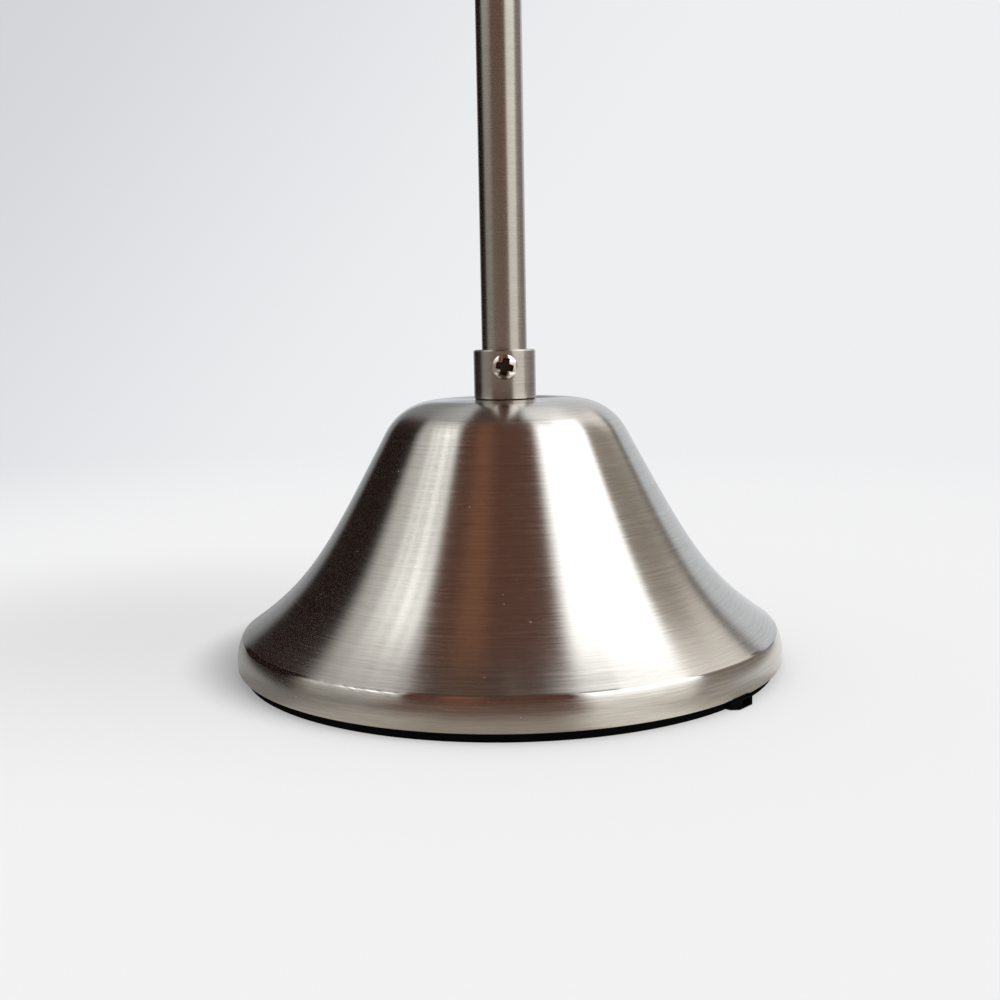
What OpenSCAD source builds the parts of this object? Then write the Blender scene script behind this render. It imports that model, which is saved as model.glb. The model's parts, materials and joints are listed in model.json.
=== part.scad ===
// Pharmacy floor lamp: a weighted bell-shaped base, a two-part pole of adjustable height,
// and a swivelling, tilting arm that carries a half-round shade over a screw-in bulb.
// Millimetres, +Z up. The origin is on the floor under the middle of the base, the
// collar's screw faces -Y and the arm points along +X.

/* [Base] */
// Outer radius of the bell's rim
base_r = 116; // [100:1:135]
// Height of the bell, from its bottom edge to its flat top
base_h = 108.6; // [90:0.2:130]
// Sheet thickness of the bell
shell_wall = 1.2; // [0.8:0.1:2]
// Height of the rim band, up to the crease
rim_h = 12; // [9:0.5:16]
// Straight part of the rim band, above the fillet of its bottom edge
rim_flat = 1.5; // [0.5:0.5:4]
// Lean of the rim band where it meets the crease, in degrees
rim_lean = 26; // [16:1:34]
// Lean of the flare where it leaves the crease, in degrees
flare_lean = 55.5; // [45:0.5:62]
// Lean of the flank under the shoulder, in degrees
flank_lean = 28.6; // [24:0.2:34]
// Radius of the shoulder between the flank and the flat top
shoulder_r = 25.2; // [18:0.2:30]
// Radius of the flat top
top_flat_r = 28.8; // [20:0.2:34]
// Fillet of the crease
crease_fillet = 1.6; // [0.5:0.1:2.5]
// Fillet of the bottom edge
edge_fillet = 0.8; // [0.3:0.1:1]

/* [Base inside] */
// Thickness of the rubber pad under the base
pad_t = 4; // [3.6:0.1:6]
// How far the pad's edge lies inside the rim
pad_inset = 3.2; // [2:0.1:6]
// Thickness of the bottom plate
plate_t = 1.5; // [1:0.1:3]
// Radius of the wiring hole in the bottom plate
plate_hole_r = 20; // [18:0.5:26]
// Height of the cast weight
weight_h = 23; // [16:0.5:30]
// Gap between the weight and the bell
weight_gap = 0.3; // [0.2:0.05:0.6]
// Depth of the weight's recess for the tie nut
weight_recess = 9; // [8:0.5:12]
// Radius of the circle of plate screws
screw_circle_r = 82; // [60:1:90]
// Number of plate screws
plate_screw_n = 4; // [3:1:6]
// Shank radius of the plate screws
plate_screw_r = 2; // [1.5:0.25:2.5]
// Length of the plate screws
plate_screw_len = 12; // [8:0.5:14]

/* [Cord outlet] */
// Direction of the cord outlet, in degrees from +X
gland_turn = -41.5; // [-60:0.5:-20]
// Width of the cord gland
gland_w = 14; // [12:0.5:18]
// Length of the cord gland
gland_len = 17; // [12:0.5:24]
// How far the gland stands out past the rim
gland_out = 1.2; // [0.5:0.1:4]
// Bevel of the gland's outer corners
gland_bevel = 2.5; // [1:0.1:4]
// Clearance over and under the gland
gland_lift = 0.2; // [0.1:0.05:0.3]
// Width of the flat cord's way through the gland
cord_w = 5.8; // [5:0.1:7]
// Height of the flat cord's way through the gland
cord_h = 2.6; // [2.2:0.1:2.8]
// Width of the cord's channel in the pad
channel_w = 8; // [7:0.5:11]
// Rubber left under the cord's channel
channel_skin = 0.8; // [0.6:0.1:1.2]

/* [Tie rod and nuts] */
// Radius of the hollow threaded rods
rod_r = 5; // [4.5:0.1:5.5]
// Radius of the wire way in the hollow rods
rod_bore_r = 3.25; // [2.5:0.05:3.5]
// Width across flats of the hollow rods' nuts
nut_af = 14; // [13.5:0.5:16]
// Thickness of the hollow rods' nuts
nut_t = 4; // [3:0.5:5]
// Thickness of the steel washers
washer_t = 1.5; // [1:0.1:2]
// Radius of the steel washers
washer_r = 14; // [11:0.5:16]
// Thread left standing past a nut
thread_end = 2; // [1:0.5:3]

/* [Pole and its collar] */
// Outer radius of the lower pole
pole_r = 9.5; // [8.5:0.1:11]
// Wall of the lower pole
pole_wall = 1.2; // [1:0.05:1.5]
// Length of the lower pole
pole_len = 583; // [450:1:700]
// Height of the base collar
collar_h = 20.8; // [17:0.2:28]
// Wall of the base collar around the pole
collar_wall = 3.55; // [3:0.05:5]
// Solid bottom of the base collar, under the pole
collar_web = 4; // [3:0.5:5]
// Bevel of the collars' edges
collar_bevel = 0.6; // [0.3:0.1:1]
// Distance of the collar screw under the collar's top
collar_screw_drop = 6.9; // [6.5:0.1:8]
// Shank radius of the collar screws
collar_screw_r = 2.5; // [2:0.1:3]
// Head radius of the collar screws
collar_head_r = 5.2; // [4.6:0.1:5.8]
// Head height of the collar screws
collar_head_h = 3.2; // [2.8:0.1:4]
// Shank length of the base collar's screw
collar_screw_len = 7; // [5.5:0.1:7.6]
// Depth of the flat that a collar screw's head sits on
spot_face = 0.6; // [0.4:0.1:1]
// Turn of the collar screw's cross recess, in degrees
cross_turn = -13; // [-45:1:45]

/* [Height clamp] */
// Depth of the clamp's socket on the pole
clamp_socket = 15; // [14:0.5:20]
// Web between the pole's end and the guide bush
clamp_web = 3; // [2:0.5:5]
// Wall of the clamp around the guide bush
clamp_wall = 2.6; // [2:0.1:4]
// Wall of the guide bush
bush_wall = 2.4; // [2:0.1:3.2]
// Length of the guide bush
bush_len = 13; // [11:0.5:18]
// Thickness of the guide bush's flange
bush_flange = 1.5; // [1:0.1:2.5]
// Shank radius of the height knob's screw
clamp_screw_r = 3; // [2.5:0.1:3.5]
// Thickness of the brass shoe in front of the screw
shoe_t = 1.6; // [1.2:0.1:2]
// Radius of the height knob
height_knob_r = 10; // [8:0.5:13]
// Length of the height knob
height_knob_len = 13; // [10:0.5:18]
// Gap between the height knob and the clamp
height_knob_gap = 3; // [2:0.5:6]

/* [Mast] */
// Gap between the mast and the pole
mast_gap = 0.3; // [0.25:0.05:0.5]
// Wall of the mast
mast_wall = 1; // [0.8:0.1:1.2]
// Length of the mast
mast_len = 630; // [500:1:720]
// Length of mast inside the pole, at rest
mast_inside = 250; // [200:1:300]
// Length of the mast's guide plug under its end
guide_len = 8; // [6:0.5:12]
// Length of the plugs inside the mast
plug_len = 12; // [10:0.5:16]
// Radius of the mast cap and the swivel head
head_r = 12.5; // [12:0.1:15]
// Thickness of the mast cap's flange
cap_t = 8; // [6:0.5:12]
// Height of the swivel head's round body
head_h = 14; // [12:0.5:18]
// Thickness of the nylon washers
nylon_t = 1; // [0.8:0.1:1.5]

/* [Tilt joint] */
// Thickness of the arm's tongue
tongue_t = 8; // [7:0.5:10]
// Radius of the tongue's and the ears' round ends
knuckle_r = 7.5; // [7:0.1:8.5]
// Thickness of each ear
ear_t = 4.4; // [3.5:0.1:5]
// Height of the tilt axis above the swivel head's round body
pivot_rise = 21; // [20:0.5:26]
// Radius of the pivot bolt
pivot_r = 3; // [2.5:0.1:3.5]
// Radius of the pivot bolt's head
pivot_head_r = 5.6; // [5:0.1:7]
// Height of the pivot bolt's head
pivot_head_h = 3.4; // [2.5:0.1:4.5]
// Radius of the tilt knob
tilt_knob_r = 12; // [9:0.5:15]
// Length of the tilt knob
tilt_knob_len = 15; // [12:0.5:20]
// Length of thread inside the tilt knob
tilt_thread = 11; // [8:0.5:12]

/* [Arm] */
// Outer radius of the arm tube
arm_r = 6.35; // [5.5:0.05:7]
// Wall of the arm tube
arm_wall = 1; // [0.8:0.1:1.4]
// Length of the arm tube
arm_len = 260; // [200:1:320]
// Distance from the tilt axis to the tongue's round socket
tongue_len = 18; // [17:0.5:24]
// Depth of the sockets that hold the arm tube
arm_socket = 14; // [12:0.5:18]
// Wall of the sockets around the arm tube
arm_socket_wall = 1.9; // [1.6:0.1:3]
// Space in the ferrule behind its front web
ferrule_space = 8; // [6:0.5:10]
// Front web of the ferrule
ferrule_web = 4; // [3:0.5:6]
// Thickness of the retaining clip in the ferrule
clip_t = 1; // [0.8:0.1:1.5]
// Solid stop behind the arm tube in the tongue
tube_stop = 4; // [3:0.5:6]
// Radius of the arm's grub screws
grub_r = 1.5; // [1.25:0.05:2]

/* [Shade] */
// Radius of the hood
hood_r = 58; // [50:1:70]
// Length of the hood
hood_len = 220; // [200:1:260]
// Sheet thickness of the hood
hood_wall = 1; // [0.8:0.1:1.6]
// Radius of the flat spot on the hood's rear end
hood_flat_r = 12; // [10:0.5:16]
// How far the hood reaches below its axis
hood_drop = 16; // [10:0.5:24]
// Thickness of the hood's lock nuts
lock_t = 3.5; // [3:0.5:5]
// Distance from the hood's rear end to the socket's cap
socket_in = 30; // [26:0.5:36]

/* [Lamp socket] */
// Outer radius of the socket's shell
socket_r = 17; // [16.6:0.1:19]
// Wall of the socket's cap and shell
socket_wall = 1; // [0.8:0.1:1.2]
// Length of the socket's cap
socket_cap_len = 14; // [12:0.5:18]
// Length of the socket's shell
socket_shell_len = 40; // [37:0.5:46]
// Length of the socket's insulating core
core_len = 26; // [25:0.5:28]
// Distance from the socket's rear end to the switch stem
switch_in = 20; // [18.5:0.5:20.5]
// Inner radius of the brass screw shell
screw_shell_r = 13.35; // [13:0.05:13.6]
// Sheet thickness of the brass parts
brass_t = 0.5; // [0.4:0.1:0.7]
// Height of the centre contact
contact_h = 2.5; // [2:0.1:3.5]
// How far the screw shell stops short of the bulb's housing
screw_shell_short = 2; // [1:0.1:3]
// Wall of the insulating sleeve
sleeve_t = 0.8; // [0.5:0.1:1]
// Radius of the switch cam
cam_r = 4; // [3.5:0.1:5]
// Height of the switch cam
cam_h = 12; // [9:0.5:14]
// Radius of the switch stem
stem_r = 2; // [1.5:0.1:2.5]
// Wall of the stem's bush in the hood
stem_bush_wall = 1.2; // [0.8:0.1:1.6]
// Radius of the switch knob
switch_knob_r = 8; // [6:0.5:10]
// Height of the switch knob
switch_knob_h = 11; // [8:0.5:14]
// Gap under the switch knob
switch_knob_gap = 0.8; // [0.5:0.1:1.5]

/* [Bulb] */
// Gap between the bulb's base and the screw shell
bulb_gap = 0.3; // [0.2:0.05:0.5]
// Length of the bulb's metal base
bulb_base_len = 22; // [20:0.5:24]
// Largest radius of the bulb
bulb_r = 30; // [27:0.5:32]
// Distance from the bulb's metal base to its middle
bulb_mid = 55; // [48:0.5:60]
// Length of the bulb's white housing
bulb_body_len = 41; // [37:0.5:44]
// Wall of the bulb's housing
bulb_wall = 1.5; // [1:0.1:2.5]
// Ledge in the housing's mouth that carries the LED board
board_ledge = 4.5; // [3:0.5:6]
// Radius of the bulb's contact button
contact_r = 4; // [3:0.25:5]

/* [Knobs and fits] */
// Number of flutes on a knob
flute_n = 16; // [10:1:24]
// Radius of a flute
flute_r = 1.1; // [0.6:0.1:1.4]
// Bevel of a knob's edges
knob_bevel = 1; // [0.5:0.1:1.5]
// Radial clearance of pieces that are fixed in one another
seat_fit = 0.05; // [0.02:0.01:0.1]
// Radial clearance of pieces that turn in one another
run_fit = 0.06; // [0.03:0.01:0.1]
// Clearance between pieces that pass without touching
free_gap = 0.3; // [0.2:0.05:0.5]

/* [Hidden] */
$fn = 64;
overcut = 1; // how far a cutter reaches past the face it cuts
curve_steps = 12; // pieces in a drawn arc
flare_pull_low = 0.346; // handle lengths of the flare's curve, as shares of its chord
flare_pull_high = 0.51;
cross_width = 0.38; // a cross recess as shares of its screw's head: arm width,
cross_reach = 0.62; // reach of its arms,
cross_floor = 0.3; // height of its floor,
pan_side = 0.35; // and the straight side of a pan head
sunk_share = 1.9; // a countersunk head's radius, as a share of its shank's
slot_share = 0.5; // a screwdriver slot's width, as a share of the shank's radius
bore_share = 0.7; // depth of a knob's bore, as a share of its length
waist_share = 0.3; // place of the waist in the bulb's housing, as a share of its length
waist_step = 1.5; // how much wider the waist is than the housing's foot
flute_out = 0.33; // how far a flute's middle lies outside the knob, as a share of its radius
wire_share = 0.33; // depth of the wire way in the socket's core, as a share of its length
cone_share = 1.5; // foot of the bulb base's insulating cone, as a share of the contact's radius,
cone_low = 1; // its height there
cone_high = 3; // and where it meets the metal

// heights of the stand
plate_z = pad_t;
weight_z = plate_z + plate_t;
recess_z = weight_z + weight_recess;
top_z = pad_t + base_h;
pole_z = top_z + collar_web;
pole_top_z = pole_z + pole_len;
collar_r = pole_r + seat_fit + collar_wall;
collar_screw_z = top_z + collar_h - collar_screw_drop;
nut_r = nut_af / 2 / cos(30);

// the rim, the crease and the flare of the bell, from its bottom edge up
pad_r = base_r - pad_inset;
rim_arc_z = edge_fillet + rim_flat;
rim_arc_r = (rim_h - rim_arc_z) / sin(rim_lean);
rim_end = [base_r - rim_arc_r * (1 - cos(rim_lean)), rim_h];
crease_end = rim_end + crease_fillet * (across(flare_lean) - across(rim_lean));
shoulder_c = [top_flat_r, base_h - shoulder_r];
flank_end = shoulder_c + shoulder_r * across(flank_lean);

// the clamp and the mast
mast_r = pole_r - pole_wall - mast_gap;
mast_bore_r = mast_r - mast_wall;
mast_z = pole_top_z - mast_inside;
mast_top_z = mast_z + mast_len;
clamp_z = pole_top_z - clamp_socket;
bush_z = pole_top_z + clamp_web;
clamp_top_z = bush_z + bush_len;
bush_r = mast_r + run_fit + bush_wall;
clamp_r = bush_r + seat_fit + clamp_wall;
knob_z = bush_z + bush_len / 2;
shoe_y = mast_r + run_fit;
clamp_screw_y = shoe_y + shoe_t + run_fit;
height_knob_y = clamp_r + height_knob_gap;
height_bore = height_knob_len * bore_share;
shoe_r = clamp_screw_r - free_gap;
clamp_screw_len = clamp_r - spot_face - pole_r + pole_wall;

// the swivel head and the tilt joint
cap_top_z = mast_top_z + cap_t;
head_z = cap_top_z + nylon_t;
head_top_z = head_z + head_h;
pivot_z = head_top_z + pivot_rise;
ear_y = tongue_t / 2 + nylon_t;
ear_out_y = ear_y + ear_t;
spindle_z = mast_top_z - plug_len - nylon_t - nut_t - thread_end;
spindle_len = head_z + head_h - pivot_r - spindle_z;
spindle_nut_r = mast_bore_r - free_gap;

// the arm
socket_out_r = arm_r + seat_fit + arm_socket_wall;
tube_x = tongue_len + tube_stop;
tube_end_x = tube_x + arm_len;
ferrule_x = tube_end_x - arm_socket;
ferrule_bore_end_x = tube_end_x + ferrule_space;
ferrule_end_x = ferrule_bore_end_x + ferrule_web;
wire_hole_x = tongue_len - knuckle_r + seat_fit;

// the shade
lock_x = ferrule_end_x + nylon_t;
hood_x = lock_x + lock_t;
hood_arc_r = hood_r - hood_flat_r;
socket_x = hood_x + socket_in;
core_x = socket_x + socket_wall;
core_r = socket_r - socket_wall - seat_fit;
shell_x = socket_x + socket_cap_len;
stem_x = socket_x + switch_in;
screw_x = core_x + core_len;
sleeve_r = core_r - seat_fit;
clip_x = ferrule_bore_end_x - run_fit - clip_t;
nipple_x = clip_x - thread_end;
nipple_end_x = core_x;
stem_hole_r = stem_r + free_gap;
stem_bush_r = stem_hole_r + stem_bush_wall;
stem_z = -cam_h / 2;
bush_top_z = hood_r + washer_t;
switch_knob_z = bush_top_z + switch_knob_gap;

// the bulb
bulb_base_r = screw_shell_r - bulb_gap;
bulb_x = screw_x + contact_h + seat_fit;
bulb_body_x = bulb_x + bulb_base_len;
bulb_mid_x = bulb_body_x + bulb_mid;
globe_x = bulb_body_x + bulb_body_len;
globe_rim_r = sqrt(pow(bulb_r, 2) - pow(bulb_mid_x - globe_x, 2));
globe_bore_r = sqrt(pow(bulb_r - bulb_wall, 2) - pow(bulb_mid_x - globe_x, 2));

// ---- geometry helpers ----

// unit vector that leans by the angle a above the horizontal
function across(a) = [cos(a), sin(a)];

// points on an arc, each with the direction of its outward normal
function arc(c, r, from, to) = [
    for (i = [0 : curve_steps])
        let (a = from + (to - from) * i / curve_steps)
        [c[0] + r * cos(a), c[1] + r * sin(a), a]
];

// the flare between the crease and the shoulder: a cubic curve and its normals
function flare() =
    let (
        chord = norm(flank_end - crease_end),
        low = crease_end + flare_pull_low * chord * across(flare_lean + 90),
        high = flank_end - flare_pull_high * chord * across(flank_lean + 90)
    ) [
        for (i = [1 : curve_steps - 1])
            let (
                t = i / curve_steps,
                u = 1 - t,
                p = u * u * u * crease_end + 3 * t * u * u * low
                    + 3 * t * t * u * high + t * t * t * flank_end,
                d = u * u * (low - crease_end) + 2 * t * u * (high - low) + t * t * (flank_end - high)
            )
            [p[0], p[1], atan2(d[1], d[0]) - 90]
    ];

// the bell's outline from the rim to the flat top, with normals
function bell_outline() = concat(
    [[base_r, rim_arc_z - rim_flat, 0]],
    arc([base_r - rim_arc_r, rim_arc_z], rim_arc_r, 0, rim_lean),
    arc(rim_end - crease_fillet * across(rim_lean), crease_fillet, rim_lean, flare_lean),
    flare(),
    arc(shoulder_c, shoulder_r, flank_lean, 90)
);

// an outline moved inward along its normals
function inset(line, d) = [for (p = line) [p[0] - d * cos(p[2]), p[1] - d * sin(p[2])]];

function reversed(line) = [for (i = [len(line) - 1 : -1 : 0]) line[i]];

function bell_inside(d) = concat(
    [[0, 0], [base_r - d, 0]], inset(bell_outline(), d), [[0, base_h - d]]
);

// the outline of a low dome on a straight edge, as on a pan head
function dome_points(r, side, h) =
    let (rise = h - side, dome_r = (r * r + rise * rise) / (2 * rise), reach = asin(r / dome_r))
    concat(
        [[0, 0], [r, 0]],
        [for (i = [0 : curve_steps])
            let (a = reach * (1 - i / curve_steps))
            [dome_r * sin(a), h - dome_r + dome_r * cos(a)]]
    );

// the hood's outline along its axis, at the depth d inside its skin
function hood_points(d) = concat(
    [[0, d]],
    [for (p = arc([hood_flat_r, hood_arc_r], hood_arc_r - d, -90, 0)) [p[0], p[1]]],
    [for (p = arc([0, hood_len - hood_r], hood_r - d, 0, 90)) [p[0], p[1]]]
);

// the globe's outline from its open rim to its top, round the middle at the height mid
function globe_points(mid, r) = [for (p = arc([0, mid], r, asin(-mid / r), 90)) [p[0], p[1]]];

module along_x(x = 0) translate([x, 0, 0]) rotate([0, 90, 0]) children();

module facing_front(y = 0, z = 0) translate([0, -y, z]) rotate([90, 0, 0]) children();

module ring(r_out, r_in, h) {
    difference() {
        cylinder(r = r_out, h = h);
        translate([0, 0, -overcut]) cylinder(r = r_in, h = h + 2 * overcut);
    }
}

// a round body with both edges bevelled
module bevelled(r, h, bevel) {
    rotate_extrude() polygon([
        [0, 0], [r - bevel, 0], [r, bevel], [r, h - bevel], [r - bevel, h], [0, h]
    ]);
}

module hex_nut(hole_r, h) {
    difference() {
        cylinder(r = nut_r, h = h, $fn = 6);
        translate([0, 0, -overcut]) cylinder(r = hole_r, h = h + 2 * overcut);
    }
}

// a knob with flutes round its edge, standing on z = 0
module fluted(r, h, flutes) {
    difference() {
        bevelled(r, h, knob_bevel);
        for (i = [0 : flutes - 1])
            rotate([0, 0, 360 / flutes * i]) translate([r + flute_r * flute_out, 0, -overcut])
                cylinder(r = flute_r, h = h + 2 * overcut);
    }
}

// a cross-recessed pan head screw: the head stands on z = 0 and the shank hangs below
module pan_screw(shank_r, shank_len, head_r, head_h, turn) {
    arm_w = head_r * cross_width;
    reach = head_r * cross_reach;
    difference() {
        union() {
            rotate_extrude() polygon(dome_points(head_r, head_h * pan_side, head_h));
            translate([0, 0, -shank_len]) cylinder(r = shank_r, h = shank_len);
        }
        for (a = [0, 90])
            rotate([0, 0, turn + a]) translate([-reach, -arm_w / 2, head_h * cross_floor])
                cube([2 * reach, arm_w, head_h]);
    }
}

// ---- the base ----

module base_shell() {
    outside = [for (p = bell_outline()) [p[0], p[1]]];
    inside = reversed(inset(bell_outline(), shell_wall));
    color("silver") translate([0, 0, pad_t]) difference() {
        rotate_extrude() polygon(concat(
            [[base_r - shell_wall, 0], [base_r - edge_fillet, 0]],
            outside,
            [[0, base_h], [0, base_h - shell_wall]],
            inside
        ));
        translate([0, 0, base_h - shell_wall - overcut])
            cylinder(r = rod_r + free_gap, h = shell_wall + 2 * overcut);
    }
}

module at_plate_screws() {
    for (i = [0 : plate_screw_n - 1])
        rotate([0, 0, 360 / plate_screw_n * i]) translate([screw_circle_r, 0, 0]) children();
}

module base_weight() {
    color("dimgray") difference() {
        intersection() {
            translate([0, 0, pad_t]) rotate_extrude() polygon(bell_inside(shell_wall + weight_gap));
            translate([0, 0, weight_z]) cylinder(r = base_r, h = weight_h);
        }
        translate([0, 0, weight_z - overcut]) cylinder(r = plate_hole_r, h = weight_recess + overcut);
        translate([0, 0, weight_z]) cylinder(r = rod_r + free_gap, h = weight_h + overcut);
        translate([0, 0, weight_z - overcut]) at_plate_screws()
            cylinder(r = plate_screw_r + seat_fit, h = plate_screw_len + overcut);
    }
}

module countersunk(grow) {
    sunk_r = plate_screw_r * sunk_share;
    rotate_extrude() polygon([
        [0, 0], [sunk_r + grow, 0], [plate_screw_r + grow, plate_t],
        [plate_screw_r + grow, plate_screw_len], [0, plate_screw_len]
    ]);
}

module bottom_plate() {
    color("gray") translate([0, 0, plate_z]) difference() {
        cylinder(r = base_r - shell_wall - weight_gap, h = plate_t);
        translate([0, 0, -overcut]) cylinder(r = plate_hole_r, h = plate_t + 2 * overcut);
        at_plate_screws() countersunk(seat_fit);
    }
}

module plate_screws() {
    slot_w = plate_screw_r * slot_share;
    color("lightgray") translate([0, 0, plate_z]) at_plate_screws() difference() {
        countersunk(0);
        translate([-base_r / 2, -slot_w / 2, -overcut]) cube([base_r, slot_w, overcut + plate_t / 2]);
    }
}

module base_pad() {
    notch_x = base_r + gland_out - gland_len - seat_fit;
    color("black") difference() {
        cylinder(r = pad_r, h = pad_t);
        rotate([0, 0, gland_turn]) {
            translate([0, -channel_w / 2, channel_skin]) cube([base_r, channel_w, pad_t]);
            translate([notch_x, -gland_w / 2 - seat_fit, -overcut])
                cube([gland_len + overcut, gland_w + 2 * seat_fit, pad_t + 2 * overcut]);
        }
    }
}

// the cord's way through the gland: a flat slot with round ends
module cord_way(length) {
    half = (cord_w - cord_h) / 2;
    for (s = [-1, 1]) translate([0, s * half, 0]) rotate([0, 90, 0]) cylinder(r = cord_h / 2, h = length);
    translate([0, -half, -cord_h / 2]) cube([length, 2 * half, cord_h]);
}

module cord_gland() {
    end_x = base_r + gland_out;
    start_x = end_x - gland_len;
    color("black") rotate([0, 0, gland_turn]) difference() {
        translate([0, 0, gland_lift]) linear_extrude(pad_t - 2 * gland_lift) polygon([
            [start_x, -gland_w / 2], [end_x - gland_bevel, -gland_w / 2],
            [end_x, gland_bevel - gland_w / 2], [end_x, gland_w / 2 - gland_bevel],
            [end_x - gland_bevel, gland_w / 2], [start_x, gland_w / 2]
        ]);
        translate([start_x - overcut, 0, pad_t / 2]) cord_way(gland_len + 2 * overcut);
    }
}

module tie_rod() {
    bottom_z = recess_z - washer_t - nut_t - thread_end;
    color("lightgray") translate([0, 0, bottom_z])
        ring(rod_r, rod_bore_r, pole_z + thread_end - bottom_z);
}

module tie_washer() {
    color("lightgray") translate([0, 0, recess_z - washer_t])
        ring(washer_r, rod_r + seat_fit, washer_t);
}

module tie_nut() {
    color("goldenrod") translate([0, 0, recess_z - washer_t - nut_t]) hex_nut(rod_r + seat_fit, nut_t);
}

module shell_washer() {
    color("lightgray") translate([0, 0, top_z - shell_wall - washer_t])
        ring(washer_r, rod_r + seat_fit, washer_t);
}

module shell_nut() {
    color("goldenrod") translate([0, 0, top_z - shell_wall - washer_t - nut_t])
        hex_nut(rod_r + seat_fit, nut_t);
}

// a flat and a drilled hole in a collar's side, for a pan head screw; it faces -Y
module screw_seat(outer_r, depth) {
    facing_front(outer_r - spot_face) {
        cylinder(r = collar_head_r + free_gap, h = spot_face + overcut);
        translate([0, 0, -depth]) cylinder(r = collar_screw_r + seat_fit, h = depth + overcut);
    }
}

module seated_screw(outer_r, depth, turn) {
    facing_front(outer_r - spot_face)
        pan_screw(collar_screw_r, depth, collar_head_r, collar_head_h, turn);
}

module at_clamp_screw() translate([0, 0, clamp_z + clamp_socket / 2]) rotate([0, 0, 180]) children();

module base_collar() {
    color("silver") difference() {
        translate([0, 0, top_z]) bevelled(collar_r, collar_h, collar_bevel);
        translate([0, 0, pole_z]) cylinder(r = pole_r + seat_fit, h = collar_h);
        translate([0, 0, top_z - overcut]) cylinder(r = rod_r + seat_fit, h = collar_h);
        translate([0, 0, collar_screw_z]) screw_seat(collar_r, collar_screw_len);
    }
}

module collar_screw() {
    color("gainsboro") translate([0, 0, collar_screw_z])
        seated_screw(collar_r, collar_screw_len, cross_turn);
}

module lower_pole() {
    color("silver") difference() {
        translate([0, 0, pole_z]) ring(pole_r, pole_r - pole_wall, pole_len);
        translate([0, 0, collar_screw_z]) screw_seat(collar_r, collar_screw_len);
        at_clamp_screw() screw_seat(clamp_r, clamp_screw_len);
    }
}

// ---- the height clamp ----

module clamp_collar() {
    color("silver") difference() {
        translate([0, 0, clamp_z]) bevelled(clamp_r, clamp_top_z - clamp_z, collar_bevel);
        translate([0, 0, clamp_z - overcut]) cylinder(r = pole_r + seat_fit, h = clamp_socket + overcut);
        translate([0, 0, clamp_z]) cylinder(r = mast_r + mast_gap, h = clamp_top_z - clamp_z);
        translate([0, 0, bush_z]) cylinder(r = bush_r + seat_fit, h = bush_len + overcut);
        at_clamp_screw() screw_seat(clamp_r, clamp_screw_len);
        facing_front(0, knob_z) cylinder(r = clamp_screw_r + run_fit, h = clamp_r + overcut);
    }
}

module clamp_collar_screw() {
    color("gainsboro") at_clamp_screw() seated_screw(clamp_r, clamp_screw_len, -cross_turn);
}

module guide_bush() {
    color("black") difference() {
        translate([0, 0, bush_z]) union() {
            ring(bush_r, mast_r + run_fit, bush_len);
            translate([0, 0, bush_len]) ring(clamp_r - collar_bevel, mast_r + run_fit, bush_flange);
        }
        facing_front(0, knob_z) cylinder(r = clamp_screw_r + run_fit, h = clamp_r);
    }
}

module clamp_shoe() {
    color("goldenrod") facing_front(shoe_y, knob_z) cylinder(r = shoe_r, h = shoe_t);
}

module height_knob() {
    color("silver") facing_front(height_knob_y, knob_z) difference() {
        fluted(height_knob_r, height_knob_len, flute_n);
        translate([0, 0, -overcut]) cylinder(r = clamp_screw_r + seat_fit, h = height_bore + overcut);
    }
}

module height_screw() {
    color("lightgray") facing_front(clamp_screw_y, knob_z)
        cylinder(r = clamp_screw_r, h = height_knob_y + height_bore - clamp_screw_y);
}

// ---- the mast and the swivel head ----

module mast_tube() {
    color("silver") translate([0, 0, mast_z]) ring(mast_r, mast_bore_r, mast_len);
}

module mast_guide() {
    color("black") translate([0, 0, mast_z - guide_len]) difference() {
        union() {
            cylinder(r = mast_r + mast_gap - run_fit, h = guide_len);
            cylinder(r = mast_bore_r - seat_fit, h = guide_len + plug_len);
        }
        translate([0, 0, -overcut]) cylinder(r = rod_r, h = guide_len + plug_len + 2 * overcut);
    }
}

module mast_cap() {
    color("silver") difference() {
        union() {
            translate([0, 0, mast_top_z]) bevelled(head_r, cap_t, collar_bevel);
            translate([0, 0, mast_top_z - plug_len])
                cylinder(r = mast_bore_r - seat_fit, h = plug_len + overcut);
        }
        translate([0, 0, mast_top_z - plug_len - overcut])
            cylinder(r = rod_r + run_fit, h = plug_len + cap_t + 2 * overcut);
    }
}

module swivel_washer() {
    color("black") translate([0, 0, cap_top_z]) ring(head_r - collar_bevel, rod_r + run_fit, nylon_t);
}

// the outline of one ear or of the tongue's end, in the XZ plane round the tilt axis
module knuckle(thick, drop) {
    rotate([90, 0, 0]) translate([0, 0, -thick / 2]) {
        cylinder(r = knuckle_r, h = thick);
        translate([-knuckle_r, -drop, 0]) cube([2 * knuckle_r, drop, thick]);
    }
}

module swivel_head() {
    color("silver") difference() {
        union() {
            translate([0, 0, head_z]) bevelled(head_r, head_h, collar_bevel);
            for (s = [-1, 1]) translate([0, s * (ear_y + ear_t / 2), pivot_z])
                knuckle(ear_t, pivot_rise + overcut);
        }
        translate([0, 0, head_z - overcut]) cylinder(r = rod_r + seat_fit, h = head_h - pivot_r + overcut);
        translate([0, 0, head_z]) cylinder(r = rod_bore_r, h = head_h + overcut);
        facing_front(-ear_out_y - overcut, pivot_z)
            cylinder(r = pivot_r + seat_fit, h = 2 * (ear_out_y + overcut));
    }
}

module swivel_spindle() {
    color("lightgray") translate([0, 0, spindle_z]) ring(rod_r, rod_bore_r, spindle_len);
}

module spindle_washer() {
    color("white") translate([0, 0, mast_top_z - plug_len - nylon_t])
        ring(spindle_nut_r, rod_r + seat_fit, nylon_t);
}

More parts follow.
